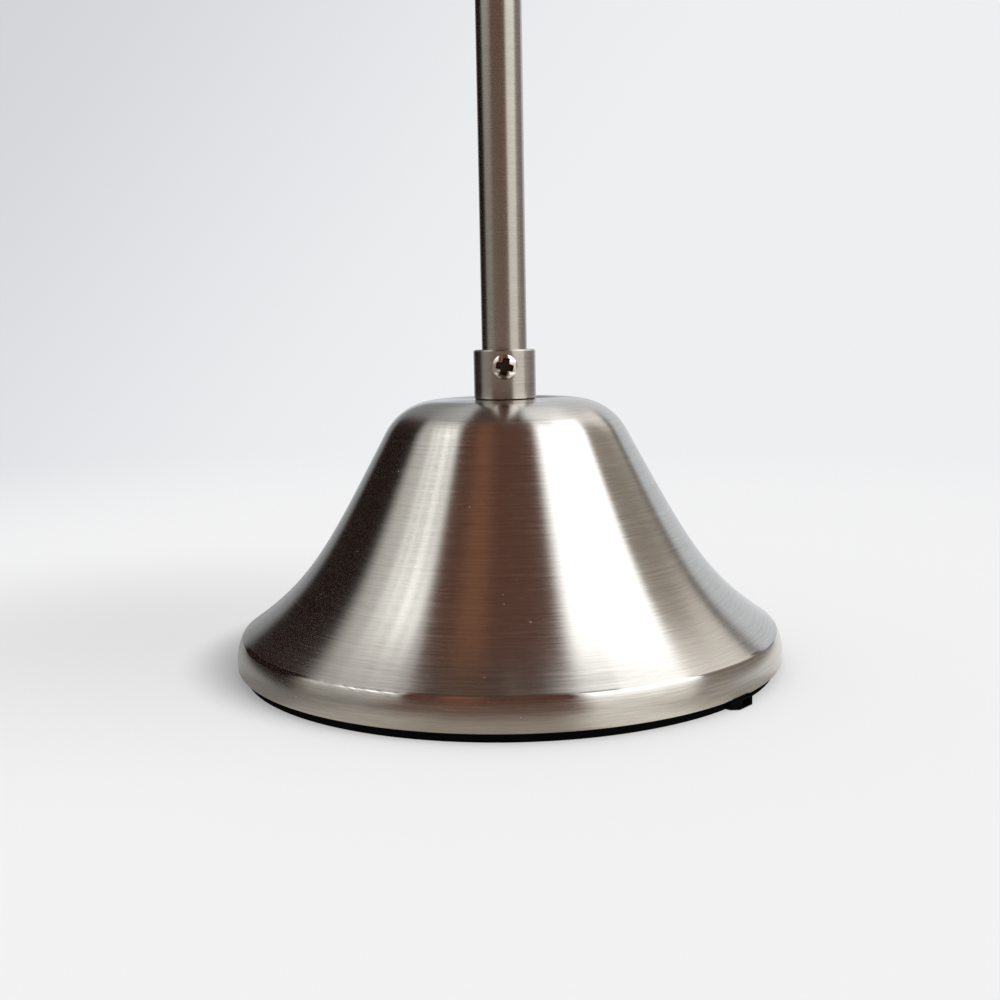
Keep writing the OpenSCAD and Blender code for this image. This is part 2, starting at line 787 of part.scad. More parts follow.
module spindle_nut() {
    color("goldenrod") translate([0, 0, spindle_z + thread_end])
        ring(spindle_nut_r, rod_r + seat_fit, nut_t);
}

module pivot_bolt() {
    reach = 2 * ear_out_y + nylon_t + tilt_thread;
    color("lightgray") facing_front(-ear_out_y, pivot_z) {
        cylinder(r = pivot_r, h = reach);
        rotate([180, 0, 0]) rotate_extrude()
            polygon(dome_points(pivot_head_r, pivot_head_h * pan_side, pivot_head_h));
    }
}

module tilt_washers() {
    color("white") for (y = [tongue_t / 2, -tongue_t / 2 - nylon_t])
        facing_front(y, pivot_z) ring(knuckle_r, pivot_r + run_fit, nylon_t);
}

module knob_washer() {
    color("white") facing_front(ear_out_y, pivot_z) ring(knuckle_r, pivot_r + run_fit, nylon_t);
}

module tilt_knob() {
    color("silver") facing_front(ear_out_y + nylon_t, pivot_z) difference() {
        fluted(tilt_knob_r, tilt_knob_len, flute_n);
        translate([0, 0, -overcut]) cylinder(r = pivot_r + run_fit, h = tilt_thread + free_gap + overcut);
    }
}

// ---- the arm ----

module at_rear_grub() translate([tube_x + arm_socket / 2, 0, 0]) rotate([180, 0, 0]) children();

module at_front_grub() translate([ferrule_x + arm_socket / 2, 0, 0]) rotate([180, 0, 0]) children();

module arm_tongue() {
    color("silver") translate([0, 0, pivot_z]) difference() {
        union() {
            rotate([0, -90, 0]) knuckle(tongue_t, tongue_len + overcut);
            along_x(tongue_len) bevelled(socket_out_r, tube_stop + arm_socket, collar_bevel);
        }
        facing_front(-tongue_t) cylinder(r = pivot_r + run_fit, h = 2 * tongue_t);
        along_x(tube_x) cylinder(r = arm_r + seat_fit, h = arm_socket + overcut);
        along_x(wire_hole_x) cylinder(r = rod_bore_r - free_gap, h = arm_len / 2);
        translate([wire_hole_x, 0, -knuckle_r - overcut])
            cylinder(r = rod_bore_r - free_gap, h = knuckle_r + overcut);
        at_rear_grub() cylinder(r = grub_r + seat_fit, h = socket_out_r + overcut);
    }
}

module arm_tube() {
    color("silver") translate([0, 0, pivot_z]) along_x(tube_x) ring(arm_r, arm_r - arm_wall, arm_len);
}

module arm_ferrule() {
    color("silver") translate([0, 0, pivot_z]) difference() {
        along_x(ferrule_x) bevelled(socket_out_r, ferrule_end_x - ferrule_x, collar_bevel);
        along_x(ferrule_x - overcut)
            cylinder(r = arm_r + seat_fit, h = ferrule_bore_end_x - ferrule_x + overcut);
        along_x(ferrule_x) cylinder(r = rod_r + run_fit, h = arm_len);
        at_front_grub() cylinder(r = grub_r + seat_fit, h = socket_out_r + overcut);
    }
}

module arm_grub_screws() {
    grub_len = arm_socket_wall - seat_fit;
    color("dimgray") translate([0, 0, pivot_z]) {
        at_rear_grub() translate([0, 0, arm_r + seat_fit]) cylinder(r = grub_r, h = grub_len);
        at_front_grub() translate([0, 0, arm_r + seat_fit]) cylinder(r = grub_r, h = grub_len);
    }
}

// ---- the shade ----

module shade_washer() {
    color("white") translate([0, 0, pivot_z]) along_x(ferrule_end_x)
        ring(socket_out_r - collar_bevel, rod_r + run_fit, nylon_t);
}

module shade_nipple() {
    color("lightgray") translate([0, 0, pivot_z]) along_x(nipple_x)
        ring(rod_r, rod_bore_r, nipple_end_x - nipple_x);
}

module shade_clip() {
    color("lightgray") translate([0, 0, pivot_z]) along_x(clip_x)
        ring(arm_r + seat_fit - free_gap, rod_r + seat_fit, clip_t);
}

module shade_lock_nuts() {
    color("silver") translate([0, 0, pivot_z]) {
        along_x(lock_x) hex_nut(rod_r + seat_fit, lock_t);
        along_x(hood_x + hood_wall) hex_nut(rod_r + seat_fit, lock_t);
    }
}

module hood() {
    color("silver") translate([0, 0, pivot_z]) difference() {
        along_x(hood_x) rotate_extrude()
            polygon(concat(hood_points(0), reversed(hood_points(hood_wall))));
        translate([hood_x - overcut, -hood_r - overcut, -hood_r - hood_drop])
            cube([hood_len + 2 * overcut, 2 * (hood_r + overcut), hood_r]);
        along_x(hood_x - overcut) cylinder(r = rod_r + seat_fit, h = hood_wall + 2 * overcut);
        translate([stem_x, 0, 0]) cylinder(r = stem_bush_r + seat_fit, h = hood_r + overcut);
    }
}

module socket_cap() {
    color("silver") translate([0, 0, pivot_z]) along_x(socket_x) difference() {
        bevelled(socket_r, socket_cap_len, socket_wall / 2);
        translate([0, 0, socket_wall]) cylinder(r = socket_r - socket_wall, h = socket_cap_len);
        translate([0, 0, -overcut]) cylinder(r = rod_r + seat_fit, h = socket_cap_len);
    }
}

module socket_core() {
    color("saddlebrown") translate([0, 0, pivot_z]) difference() {
        along_x(core_x) cylinder(r = core_r, h = core_len);
        along_x(core_x - overcut) cylinder(r = rod_bore_r, h = core_len * wire_share + overcut);
        translate([stem_x, 0, stem_z - free_gap]) cylinder(r = cam_r + free_gap, h = core_r * 2);
    }
}

module socket_shell() {
    color("silver") translate([0, 0, pivot_z]) difference() {
        along_x(shell_x) ring(socket_r, socket_r - socket_wall, socket_shell_len);
        translate([stem_x, 0, 0]) cylinder(r = stem_hole_r, h = socket_r + overcut);
    }
}

module socket_sleeve() {
    color("tan") translate([0, 0, pivot_z]) along_x(screw_x)
        ring(sleeve_r, sleeve_r - sleeve_t, shell_x + socket_shell_len - screw_x);
}

module screw_shell() {
    shell_len = bulb_body_x - screw_x - screw_shell_short;
    color("goldenrod") translate([0, 0, pivot_z]) along_x(screw_x) difference() {
        cylinder(r = screw_shell_r + brass_t, h = shell_len);
        translate([0, 0, brass_t]) cylinder(r = screw_shell_r, h = shell_len);
        translate([0, 0, -overcut]) cylinder(r = bulb_base_r / 2 + contact_r / 2, h = shell_len);
    }
}

module centre_contact() {
    color("goldenrod") translate([0, 0, pivot_z]) along_x(screw_x)
        cylinder(r = contact_r, h = contact_h);
}

module bulb_base() {
    color("gainsboro") translate([0, 0, pivot_z]) along_x(bulb_x) rotate_extrude() polygon([
        [0, 0], [contact_r, 0], [contact_r * cone_share, cone_low], [bulb_base_r, cone_high],
        [bulb_base_r, bulb_base_len], [0, bulb_base_len]
    ]);
}

module bulb_housing() {
    foot = [bulb_base_r + brass_t, 0];
    waist = [foot[0] + waist_step, bulb_body_len * waist_share];
    mouth = [globe_rim_r, bulb_body_len];
    color("white") translate([0, 0, pivot_z]) along_x(bulb_body_x) rotate_extrude() polygon([
        [0, 0], foot, waist, mouth, mouth - [board_ledge, 0],
        mouth - [board_ledge, bulb_wall], waist - [bulb_wall, 0], [foot[0] - bulb_wall, bulb_wall],
        [0, bulb_wall]
    ]);
}

module bulb_globe() {
    mid = bulb_mid_x - globe_x;
    color("white") translate([0, 0, pivot_z]) along_x(globe_x) rotate_extrude() polygon(concat(
        globe_points(mid, bulb_r), reversed(globe_points(mid, bulb_r - bulb_wall))
    ));
}

module led_board() {
    color("whitesmoke") translate([0, 0, pivot_z]) along_x(globe_x)
        cylinder(r = globe_bore_r - free_gap, h = bulb_wall);
}

module stem_bush() {
    color("silver") translate([stem_x, 0, pivot_z]) difference() {
        union() {
            translate([0, 0, hood_r]) cylinder(r = stem_bush_r + stem_bush_wall, h = washer_t);
            translate([0, 0, hood_r - washer_t - nut_t])
                cylinder(r = stem_bush_r, h = washer_t + nut_t + overcut / 2);
        }
        cylinder(r = stem_hole_r, h = hood_r + washer_t + overcut);
    }
}

module stem_bush_nut() {
    color("silver") translate([stem_x, 0, pivot_z + hood_r - hood_wall - free_gap - washer_t])
        ring(stem_bush_r + stem_bush_wall, stem_bush_r + seat_fit, washer_t);
}

module switch_cam() {
    color("saddlebrown") translate([stem_x, 0, pivot_z + stem_z]) difference() {
        cylinder(r = cam_r, h = cam_h);
        translate([0, 0, cam_h / 2]) cylinder(r = stem_r + seat_fit, h = cam_h);
    }
}

module switch_stem() {
    color("lightgray") translate([stem_x, 0, pivot_z + stem_z + cam_h / 2])
        cylinder(r = stem_r, h = switch_knob_z + switch_knob_h / 2 - stem_z - cam_h / 2);
}

module switch_knob() {
    color("silver") translate([stem_x, 0, pivot_z + switch_knob_z]) difference() {
        fluted(switch_knob_r, switch_knob_h, flute_n);
        translate([0, 0, -overcut]) cylinder(r = stem_r + seat_fit, h = switch_knob_h / 2 + overcut);
    }
}

base_shell();
base_weight();
bottom_plate();
plate_screws();
base_pad();
cord_gland();
tie_rod();
tie_washer();
tie_nut();
shell_washer();
shell_nut();
base_collar();
collar_screw();
lower_pole();
clamp_collar();
clamp_collar_screw();
guide_bush();
clamp_shoe();
height_knob();
height_screw();
mast_tube();
mast_guide();
mast_cap();
swivel_washer();
swivel_head();
swivel_spindle();
spindle_washer();
spindle_nut();
pivot_bolt();
tilt_washers();
knob_washer();
tilt_knob();
arm_tongue();
arm_tube();
arm_ferrule();
arm_grub_screws();
shade_washer();
shade_nipple();
shade_clip();
shade_lock_nuts();
hood();
socket_cap();
socket_core();
socket_shell();
socket_sleeve();
screw_shell();
centre_contact();
bulb_base();
bulb_housing();
bulb_globe();
led_board();
stem_bush();
stem_bush_nut();
switch_cam();
switch_stem();
switch_knob();
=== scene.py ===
from functools import cache
import json
import math

import bmesh
import bpy
from mathutils import Matrix, Vector


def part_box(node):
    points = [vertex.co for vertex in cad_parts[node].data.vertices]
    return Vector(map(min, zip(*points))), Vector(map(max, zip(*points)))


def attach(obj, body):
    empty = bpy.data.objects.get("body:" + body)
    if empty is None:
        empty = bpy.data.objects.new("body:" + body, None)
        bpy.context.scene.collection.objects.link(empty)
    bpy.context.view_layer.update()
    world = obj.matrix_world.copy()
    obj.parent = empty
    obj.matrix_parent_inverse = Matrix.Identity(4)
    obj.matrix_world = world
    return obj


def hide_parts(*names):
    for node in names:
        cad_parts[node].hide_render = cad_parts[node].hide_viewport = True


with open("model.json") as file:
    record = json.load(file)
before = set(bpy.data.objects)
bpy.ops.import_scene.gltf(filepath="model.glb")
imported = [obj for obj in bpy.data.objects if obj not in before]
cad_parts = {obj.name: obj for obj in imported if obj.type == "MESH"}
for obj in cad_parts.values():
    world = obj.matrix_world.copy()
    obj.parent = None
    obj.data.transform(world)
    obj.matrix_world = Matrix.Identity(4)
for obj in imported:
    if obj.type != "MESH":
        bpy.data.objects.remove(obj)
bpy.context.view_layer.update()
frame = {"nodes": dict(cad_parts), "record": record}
mm = 0.001
rad = math.radians
print("frame loaded:", len(frame["nodes"]), "nodes")


# places that many pieces share, taken from the frame
def middleOf(node):
    low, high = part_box(node)
    return (low + high) / 2


slotOf = {part["node"]: part["material_slot"] for part in frame["record"]["subparts"]}
bodyOf = {node: body for body, nodes in frame["record"]["behaviour"]["bodies"].items() for node in nodes}
armHeight = middleOf("arm_tube").z
clampHeight = middleOf("height_knob").z
stemPlace = middleOf("switch_stem")

# the axes that the round pieces were turned on
turningAxes = {
    "pole": {"centre": Vector((0, 0, 0)), "axis": Vector((0, 0, 1))},
    "arm": {"centre": Vector((0, 0, armHeight)), "axis": Vector((1, 0, 0))},
    "pivot": {"centre": Vector((0, 0, armHeight)), "axis": Vector((0, -1, 0))},
    "clamp": {"centre": Vector((0, 0, clampHeight)), "axis": Vector((0, -1, 0))},
    "stem": {"centre": Vector((stemPlace.x, stemPlace.y, armHeight)), "axis": Vector((0, 0, 1))},
}
# nodes off the two main axes: the rest of the arm and shade is round the arm, all else round the pole
ownAxis = {"height_knob": "clamp", "height_screw": "clamp", "tilt_knob": "pivot", "pivot_bolt": "pivot",
           "tilt_washers": "pivot", "knob_washer": "pivot", "switch_knob": "stem", "switch_stem": "stem",
           "stem_bush": "stem", "stem_bush_nut": "stem"}
# pieces that aren't called what their node is
ownName = {"base_shell": "bell", "base_pad": "rubberPad", "clamp_collar_screw": "clampScrew",
           "height_screw": "clampThread", "shade_lock_nuts": "lockNuts", "arm_grub_screws": "grubScrews"}


def axisOf(node):
    return ownAxis.get(node, "arm" if bodyOf[node] in ("arm", "shade") else "pole")


def plainName(name):
    first, *rest = name.split("_")
    return first + "".join(word.capitalize() for word in rest)


# camera
view = {"lens": 44.26, "sensor": 36, "nearest": 0.01, "sideways": -1.7 * mm, "distance": 522.3 * mm,
        "height": 141.4 * mm, "down": 7.86, "roll": 1.05}


def makeCamera():
    data = bpy.data.cameras.new("camera")
    data.lens = view["lens"]
    data.sensor_width = view["sensor"]
    data.clip_start = view["nearest"]
    camera = bpy.data.objects.new("camera", data)
    bpy.context.scene.collection.objects.link(camera)
    place = Matrix.Translation((view["sideways"], -view["distance"], view["height"]))
    turn = Matrix.Rotation(rad(view["roll"]), 4, "Y") @ Matrix.Rotation(rad(90 - view["down"]), 4, "X")
    camera.matrix_world = place @ turn
    bpy.context.scene.camera = camera


makeCamera()
bpy.context.scene.view_settings.view_transform = "Standard"
print("camera placed")


# node helpers
def feed(tree, socket, value):
    if isinstance(value, bpy.types.NodeSocket):
        tree.links.new(value, socket)
    elif socket.type == "RGBA":
        socket.default_value = (*value, 1)
    else:
        socket.default_value = value


def makeNode(tree, kind, inputs=None, **settings):
    made = tree.nodes.new("ShaderNode" + kind)
    for name, value in settings.items():
        setattr(made, name, value)
    for name, value in (inputs or {}).items():
        feed(tree, made.inputs[name], value)
    return made


def calc(tree, operation, *values, clamp=False):
    return makeNode(tree, "Math", dict(enumerate(values)), operation=operation, use_clamp=clamp).outputs[0]


def times(tree, first, second):
    return calc(tree, "MULTIPLY", first, second)


def timesPlus(tree, first, second, third):
    return calc(tree, "MULTIPLY_ADD", first, second, third)


def minus(tree, first, second):
    return calc(tree, "SUBTRACT", first, second)


def vectorCalc(tree, operation, *values):
    made = makeNode(tree, "VectorMath", dict(enumerate(values)), operation=operation)
    return made.outputs["Value" if operation == "LENGTH" else "Vector"]


def scaled(tree, color, factor):
    return makeNode(tree, "VectorMath", {0: color, "Scale": factor}, operation="SCALE").outputs[0]


def parts(tree, place):
    return makeNode(tree, "SeparateXYZ", {0: place}).outputs


def joined(tree, *values):
    return makeNode(tree, "CombineXYZ", dict(enumerate(values))).outputs[0]


# degrees to the right of the front
def turnOf(tree, x, y):
    return calc(tree, "DEGREES", calc(tree, "ARCTAN2", x, times(tree, y, -1)))


# distance from the Z axis
def radiusOf(tree, x, y):
    return calc(tree, "SQRT", calc(tree, "ADD", times(tree, x, x), times(tree, y, y)))


def ramp(tree, value, low, high, start=0.0, end=1.0, smooth=True):
    made = makeNode(tree, "MapRange", {"Value": value, "From Min": low, "From Max": high, "To Min": start,
                                       "To Max": end})
    made.interpolation_type = "SMOOTHSTEP" if smooth else "LINEAR"
    return made.outputs["Result"]


def mixColor(tree, factor, first, second):
    sockets = {0: factor, 6: first, 7: second}
    return makeNode(tree, "Mix", sockets, data_type="RGBA", clamp_factor=True).outputs[2]


def mixShaders(tree, factor, first, second):
    return makeNode(tree, "MixShader", {0: factor, 1: first.outputs[0], 2: second.outputs[0]})


def noise(tree, place, scale, detail=2.0, roughness=0.5):
    inputs = {"Vector": place, "Scale": scale, "Detail": detail, "Roughness": roughness}
    return makeNode(tree, "TexNoise", inputs).outputs["Fac"]


# every shader group takes a place and some numbers, and gives numbers
def makeGroup(name, inputs, outputs):
    tree = bpy.data.node_groups.new(name, "ShaderNodeTree")
    tree.interface.new_socket("Place", in_out="INPUT", socket_type="NodeSocketVector")
    for names, side in ((inputs, "INPUT"), (outputs, "OUTPUT")):
        for socketName in names:
            tree.interface.new_socket(socketName, in_out=side, socket_type="NodeSocketFloat")
    source = tree.nodes.new("NodeGroupInput")
    target = tree.nodes.new("NodeGroupOutput")
    return tree, source.outputs, target.inputs


def useGroup(tree, group, place, inputs):
    made = tree.nodes.new("ShaderNodeGroup")
    made.node_tree = group
    for name, value in {"Place": place, **inputs}.items():
        feed(tree, made.inputs[name], value)
    return made.outputs


# studio: what the metal mirrors is laid out by the way a mirror would have to face to show it
# from the front, turned to the right and tilted up in degrees
studio = {
    "mirrorFront": (0.0, -0.985, 0.17), "fill": 1.0,
    "behind": (0.70, 0.73, 0.77), "leftWall": (0.27, 0.275, 0.28), "leftFrom": -93, "leftTo": -77,
    # the backdrop is darker to the upper left
    "backdrop": (0.855, 0.86, 0.875), "backdropDark": (0.62, 0.64, 0.67),
    "darkSide": -1.1, "darkUp": 0.9, "darkFull": 0.75, "backFrom": 0.5, "backTo": 0.9,
    "streakLean": 0.16, "streakScale": 0.72, "streakRough": 0.6, "streakFrom": 0.44, "streakTo": 0.55,
}
studioCards = {
    "paleRight": {"color": (0.66, 0.685, 0.72), "turn": (65, 200), "tilt": (-90, 90), "soft": (3.5, 5)},
    "ceiling": {"color": (0.69, 0.7, 0.72), "turn": (-32, 90), "tilt": (52, 99), "soft": (28, 4)},
    "ceilingGlow": {"color": (1.2, 1.2, 1.19), "turn": (11, 39), "tilt": (38, 65), "soft": (7, 12)},
    "room": {"color": (0.125, 0.058, 0.04), "turn": (-70, 41), "tilt": (-60, 52), "soft": (2, 3)},
    "roomLow": {"color": (0.2, 0.145, 0.115), "turn": (-70, 14), "tilt": (-60, 12), "soft": (2, 6)},
    "blackFlag": {"color": (0.018, 0.01, 0.008), "turn": (-74.5, -46), "tilt": (-60, 49), "soft": (3, 4),
                  "softLow": 8},
    "door": {"color": (0.22, 0.098, 0.055), "turn": (-14, -6), "tilt": (20, 58), "soft": (2.5, 9)},
    "windowLow": {"color": (0.26, 0.24, 0.215), "turn": (-47, -27), "tilt": (-60, 25), "soft": (6, 8)},
    "windowGlow": {"color": (0.8, 0.8, 0.765), "turn": (-46, -22.5), "tilt": (18, 50), "soft": (4, 5),
                   "softRight": 1.5, "streaks": 0.35},
    "window": {"color": (2.4, 2.41, 2.38), "turn": (-36, -25), "tilt": (28, 43), "soft": (6, 7),
               "softRight": 3, "softLow": 5, "streaks": 0.92},
    "boxLow": {"color": (0.8, 0.76, 0.69), "turn": (15.2, 39.5), "tilt": (-60, 22), "soft": (3, 5)},
    "box": {"color": (2.1, 2.12, 2.12), "turn": (14.8, 41.9), "tilt": (19.5, 50), "soft": (3.0, 3.5),
            "softRight": 2.6, "softLow": 4.5},
    "wall": {"color": (0.36, 0.31, 0.265), "turn": (42, 62), "tilt": (-60, 43), "soft": (1.2, 2.5),
             "slant": -0.6},
    "wallDark": {"color": (0.24, 0.205, 0.175), "turn": (43, 65), "tilt": (13, 27), "soft": (2, 5)},
    "wallFar": {"color": (0.245, 0.22, 0.2), "turn": (50, 74), "tilt": (-60, 17), "soft": (4, 5),
                "softRight": 6},
    "wallEdge": {"color": (0.76, 0.72, 0.66), "turn": (56.5, 61), "tilt": (33, 56), "soft": (1.5, 4),
                 "leanLeft": 0.7},
    "upperRight": {"color": (1.1, 1.05, 0.99), "turn": (41, 60), "tilt": (43, 56), "soft": (3, 4)},
    "gap": {"color": (0.2, 0.18, 0.165), "turn": (61.5, 64.5), "tilt": (28, 47), "soft": (1.0, 3)},
    "poleTop": {"color": (0.08, 0.06, 0.05), "turn": (-21, 10), "tilt": (48.5, 84), "soft": (3, 3)},
}
# the floor as the metal mirrors it: painted reflection, emission colours round the lamp that stand for the
# paper's sheen of the window and softbox and its shade elsewhere
floorMirror = [(-90, (0.36, 0.36, 0.35)), (-75, (0.24, 0.23, 0.22)), (-58, (0.25, 0.23, 0.21)),
               (-46, (0.42, 0.39, 0.35)), (-36, (0.50, 0.46, 0.41)), (-26, (0.48, 0.44, 0.38)),
               (-16, (0.38, 0.33, 0.28)), (9, (0.38, 0.33, 0.28)), (21, (0.80, 0.76, 0.68)),
               (32, (0.90, 0.86, 0.79)), (44, (0.55, 0.51, 0.45)), (54, (0.38, 0.35, 0.31)),
               (66, (0.40, 0.38, 0.35)), (77, (0.72, 0.71, 0.69)), (90, (0.86, 0.85, 0.84))]


def cardMask(tree, turn, tilt, card):
    softTurn, softTilt = card["soft"]
    softRight = card.get("softRight", softTurn)
    softLow = card.get("softLow", softTilt)
    left, right = card["turn"]
    low, high = card["tilt"]
    leaning = timesPlus(tree, minus(tree, tilt, low), card.get("leanLeft", 0.0), turn)
    sloping = timesPlus(tree, minus(tree, turn, (left + right) / 2), -card.get("slant", 0.0), tilt)
    edges = [ramp(tree, leaning, left - softTurn, left + softTurn),
             ramp(tree, turn, right + softRight, right - softRight),
             ramp(tree, tilt, low - softLow, low + softLow),
             ramp(tree, sloping, high + softTilt, high - softTilt)]
    if "streaks" in card:
        across = joined(tree, timesPlus(tree, tilt, studio["streakLean"], turn))
        wave = noise(tree, across, studio["streakScale"], 2.0, studio["streakRough"])
        edges.append(ramp(tree, wave, studio["streakFrom"], studio["streakTo"], 1 - card["streaks"], 1.0))
    mask = edges[0]
    for edge in edges[1:]:
        mask = times(tree, mask, edge)
    return mask


def turnColors(tree, turn, stops):
    low, high = stops[0][0], stops[-1][0]
    made = makeNode(tree, "ValToRGB", {0: ramp(tree, turn, low, high, smooth=False)})
    made.color_ramp.interpolation = "EASE"
    elements = made.color_ramp.elements
    for i, (angle, color) in enumerate(stops):
        place = (angle - low) / (high - low)
        element = elements[i] if i < 2 else elements.new(place)
        element.position = place
        element.color = (*color, 1)
    return made.outputs[0]


def makeWorld():
    world = bpy.data.worlds.new("studio")
    bpy.context.scene.world = world
    world.use_nodes = True
    world.cycles.sampling_method = "NONE"  # what a surface mirrors is found by its own rays alone
    tree = world.node_tree
    tree.nodes.clear()
    direction = makeNode(tree, "TexCoord").outputs["Generated"]
    halfway = vectorCalc(tree, "NORMALIZE", vectorCalc(tree, "ADD", direction, studio["mirrorFront"]))
    x, y, z = parts(tree, halfway)
    turn = turnOf(tree, x, y)
    tilt = calc(tree, "DEGREES", calc(tree, "ARCSINE", z))
    toLeft = ramp(tree, turn, studio["leftFrom"], studio["leftTo"])
    mirrored = mixColor(tree, toLeft, studio["behind"], studio["leftWall"])
    for card in studioCards.values():
        mirrored = mixColor(tree, cardMask(tree, turn, tilt, card), mirrored, card["color"])
    side, back, up = parts(tree, direction)
    shade = calc(tree, "ADD", times(tree, side, studio["darkSide"]), times(tree, up, studio["darkUp"]))
    dark = times(tree, ramp(tree, shade, 0.0, studio["darkFull"]),
                 ramp(tree, back, studio["backFrom"], studio["backTo"]))
    backdrop = mixColor(tree, dark, studio["backdrop"], studio["backdropDark"])
    rays = makeNode(tree, "LightPath").outputs
    plain = makeNode(tree, "Background", {"Color": (1, 1, 1), "Strength": studio["fill"]})
    shiny = makeNode(tree, "Background", {"Color": mirrored, "Strength": 1.0})
    seen = makeNode(tree, "Background", {"Color": backdrop, "Strength": 1.0})
    either = mixShaders(tree, rays["Is Glossy Ray"], plain, shiny)
    final = mixShaders(tree, rays["Is Camera Ray"], either, seen)
    makeNode(tree, "OutputWorld", {"Surface": final.outputs[0]})


def makeObject(mesh, name):
    data = bpy.data.meshes.new(name)
    mesh.to_mesh(data)
    mesh.free()
    made = bpy.data.objects.new(name, data)
    bpy.context.scene.collection.objects.link(made)
    return made


# the floor: the shadows are soft dark areas in its own colour, and glow is the share that needs no light
floorLook = {
    "radius": 6.0, "color": (0.90, 0.90, 0.905), "glow": 0.5,
    "fadeFrom": 0.25, "fadeTo": 1.1, "mirrorFrom": 0.25, "mirrorTo": 0.7,
    "shadows": [
        {"x": -14 * mm, "y": 18 * mm, "from": 106 * mm, "to": 134 * mm, "darkest": 0.56, "power": 0.8},
        {"x": -190 * mm, "y": 70 * mm, "from": 0, "to": 260 * mm, "darkest": 0.85, "power": 1.0},
    ],
}


def makeFloor():
    mesh = bmesh.new()
    bmesh.ops.create_circle(mesh, cap_ends=True, radius=floorLook["radius"], segments=64)
    floor = makeObject(mesh, "floor")
    material = bpy.data.materials.new("floorPaper")
    material.use_nodes = True
    tree = material.node_tree
    tree.nodes.clear()
    place = makeNode(tree, "TexCoord").outputs["Object"]
    reach = vectorCalc(tree, "LENGTH", place)
    x, y, z = parts(tree, place)
    rays = makeNode(tree, "LightPath").outputs
    seenFade = ramp(tree, reach, floorLook["fadeFrom"], floorLook["fadeTo"])
    mirrorFade = ramp(tree, reach, floorLook["mirrorFrom"], floorLook["mirrorTo"])
    fade = calc(tree, "ADD", times(tree, rays["Is Camera Ray"], seenFade),
                times(tree, rays["Is Glossy Ray"], mirrorFade), clamp=True)
    color = floorLook["color"]
    for shadow in floorLook["shadows"]:
        aside = vectorCalc(tree, "LENGTH", vectorCalc(tree, "SUBTRACT", place, (shadow["x"], shadow["y"], 0)))
        light = calc(tree, "POWER", ramp(tree, aside, shadow["from"], shadow["to"]), shadow["power"])
        color = scaled(tree, color, timesPlus(tree, light, 1 - shadow["darkest"], shadow["darkest"]))
    lit = makeNode(tree, "BsdfDiffuse", {"Color": color})
    pale = makeNode(tree, "Emission", {"Color": color})
    paper = mixShaders(tree, times(tree, rays["Is Camera Ray"], floorLook["glow"]), lit, pale)
    # painted reflection: what glossy rays meet on the floor is an emission in the colours above
    mirrored = makeNode(tree, "Emission", {"Color": turnColors(tree, turnOf(tree, x, y), floorMirror)})
    either = mixShaders(tree, rays["Is Glossy Ray"], paper, mirrored)
    mixed = mixShaders(tree, fade, either, makeNode(tree, "BsdfTransparent"))
    makeNode(tree, "OutputMaterial", {"Surface": mixed.outputs[0]})
    floor.data.materials.append(material)


makeWorld()
makeFloor()
print("studio built")


# shader groups that several finishes share
# fine lines round a turned piece: its axis is Z in the coordinates that come in
brushing = {"fineLength": 12 * mm, "finePitch": 0.30 * mm, "broadLength": 90 * mm, "broadPitch": 1.4 * mm}


def makeBrushLines():
    tree, given, result = makeGroup("brushLines", [], ["Fine", "Broad"])
    x, y, z = parts(tree, given["Place"])
    along = minus(tree, z, radiusOf(tree, x, y))
    for kind, detail in (("fine", 2.0), ("broad", 3.0)):
        length = brushing[kind + "Length"]
        place = joined(tree, calc(tree, "DIVIDE", x, length), calc(tree, "DIVIDE", y, length),
                       calc(tree, "DIVIDE", along, brushing[kind + "Pitch"]))
        feed(tree, result[kind.capitalize()], minus(tree, noise(tree, place, 1.0, detail, 0.6), 0.5))
    return tree


# specks of dust, sparse and mostly small, thicker in patches
specks = {"least": 0.045, "spread": 0.10, "rarity": 4.0, "soft": 0.5,
          "patchScale": 28.0, "patchFrom": 0.42, "patchTo": 0.62, "between": 0.25}


def makeDustSpecks():
    tree, given, result = makeGroup("dustSpecks", ["Spacing", "Amount"], ["Mask"])
    place = given["Place"]
    cells = makeNode(tree, "TexVoronoi", {"Vector": place,
                                          "Scale": calc(tree, "DIVIDE", 1.0, given["Spacing"])}).outputs
    chance, size, other = makeNode(tree, "SeparateColor", {0: cells["Color"]}).outputs
    reach = timesPlus(tree, calc(tree, "POWER", size, specks["rarity"]), specks["spread"], specks["least"])
    spot = ramp(tree, cells["Distance"], reach, times(tree, reach, specks["soft"]))
    patches = noise(tree, place, specks["patchScale"], 1.0)
    patches = ramp(tree, patches, specks["patchFrom"], specks["patchTo"], specks["between"], 1.0)
    kept = calc(tree, "LESS_THAN", chance, times(tree, given["Amount"], patches))
    feed(tree, result["Mask"], times(tree, spot, kept))
    return tree


# hairline scratches in two directions
hairlines = {"directions": ((0.6, 1.0), (-0.9, 1.3)), "long": 30, "thin": 2400, "from": 0.735, "to": 0.79}


def makeFineScratches():
    tree, given, result = makeGroup("fineScratches", ["Amount"], ["Mask"])
    marks = []
    for turn, size in hairlines["directions"]:
        long = hairlines["long"] * size
        turned = makeNode(tree, "Mapping", {"Vector": given["Place"], "Rotation": (turn, turn * 0.7, turn),
                                            "Scale": (long, long, hairlines["thin"] * size)}).outputs[0]
        marks.append(ramp(tree, noise(tree, turned, 1.0, 1.0), hairlines["from"], hairlines["to"]))
    feed(tree, result["Mask"], times(tree, calc(tree, "MAXIMUM", *marks), given["Amount"]))
    return tree


# where an outer edge has rubbed
rubbing = {"edgeFrom": 0.52, "edgeTo": 0.62, "scale": 900.0, "brokenFrom": 0.35, "brokenTo": 0.65}


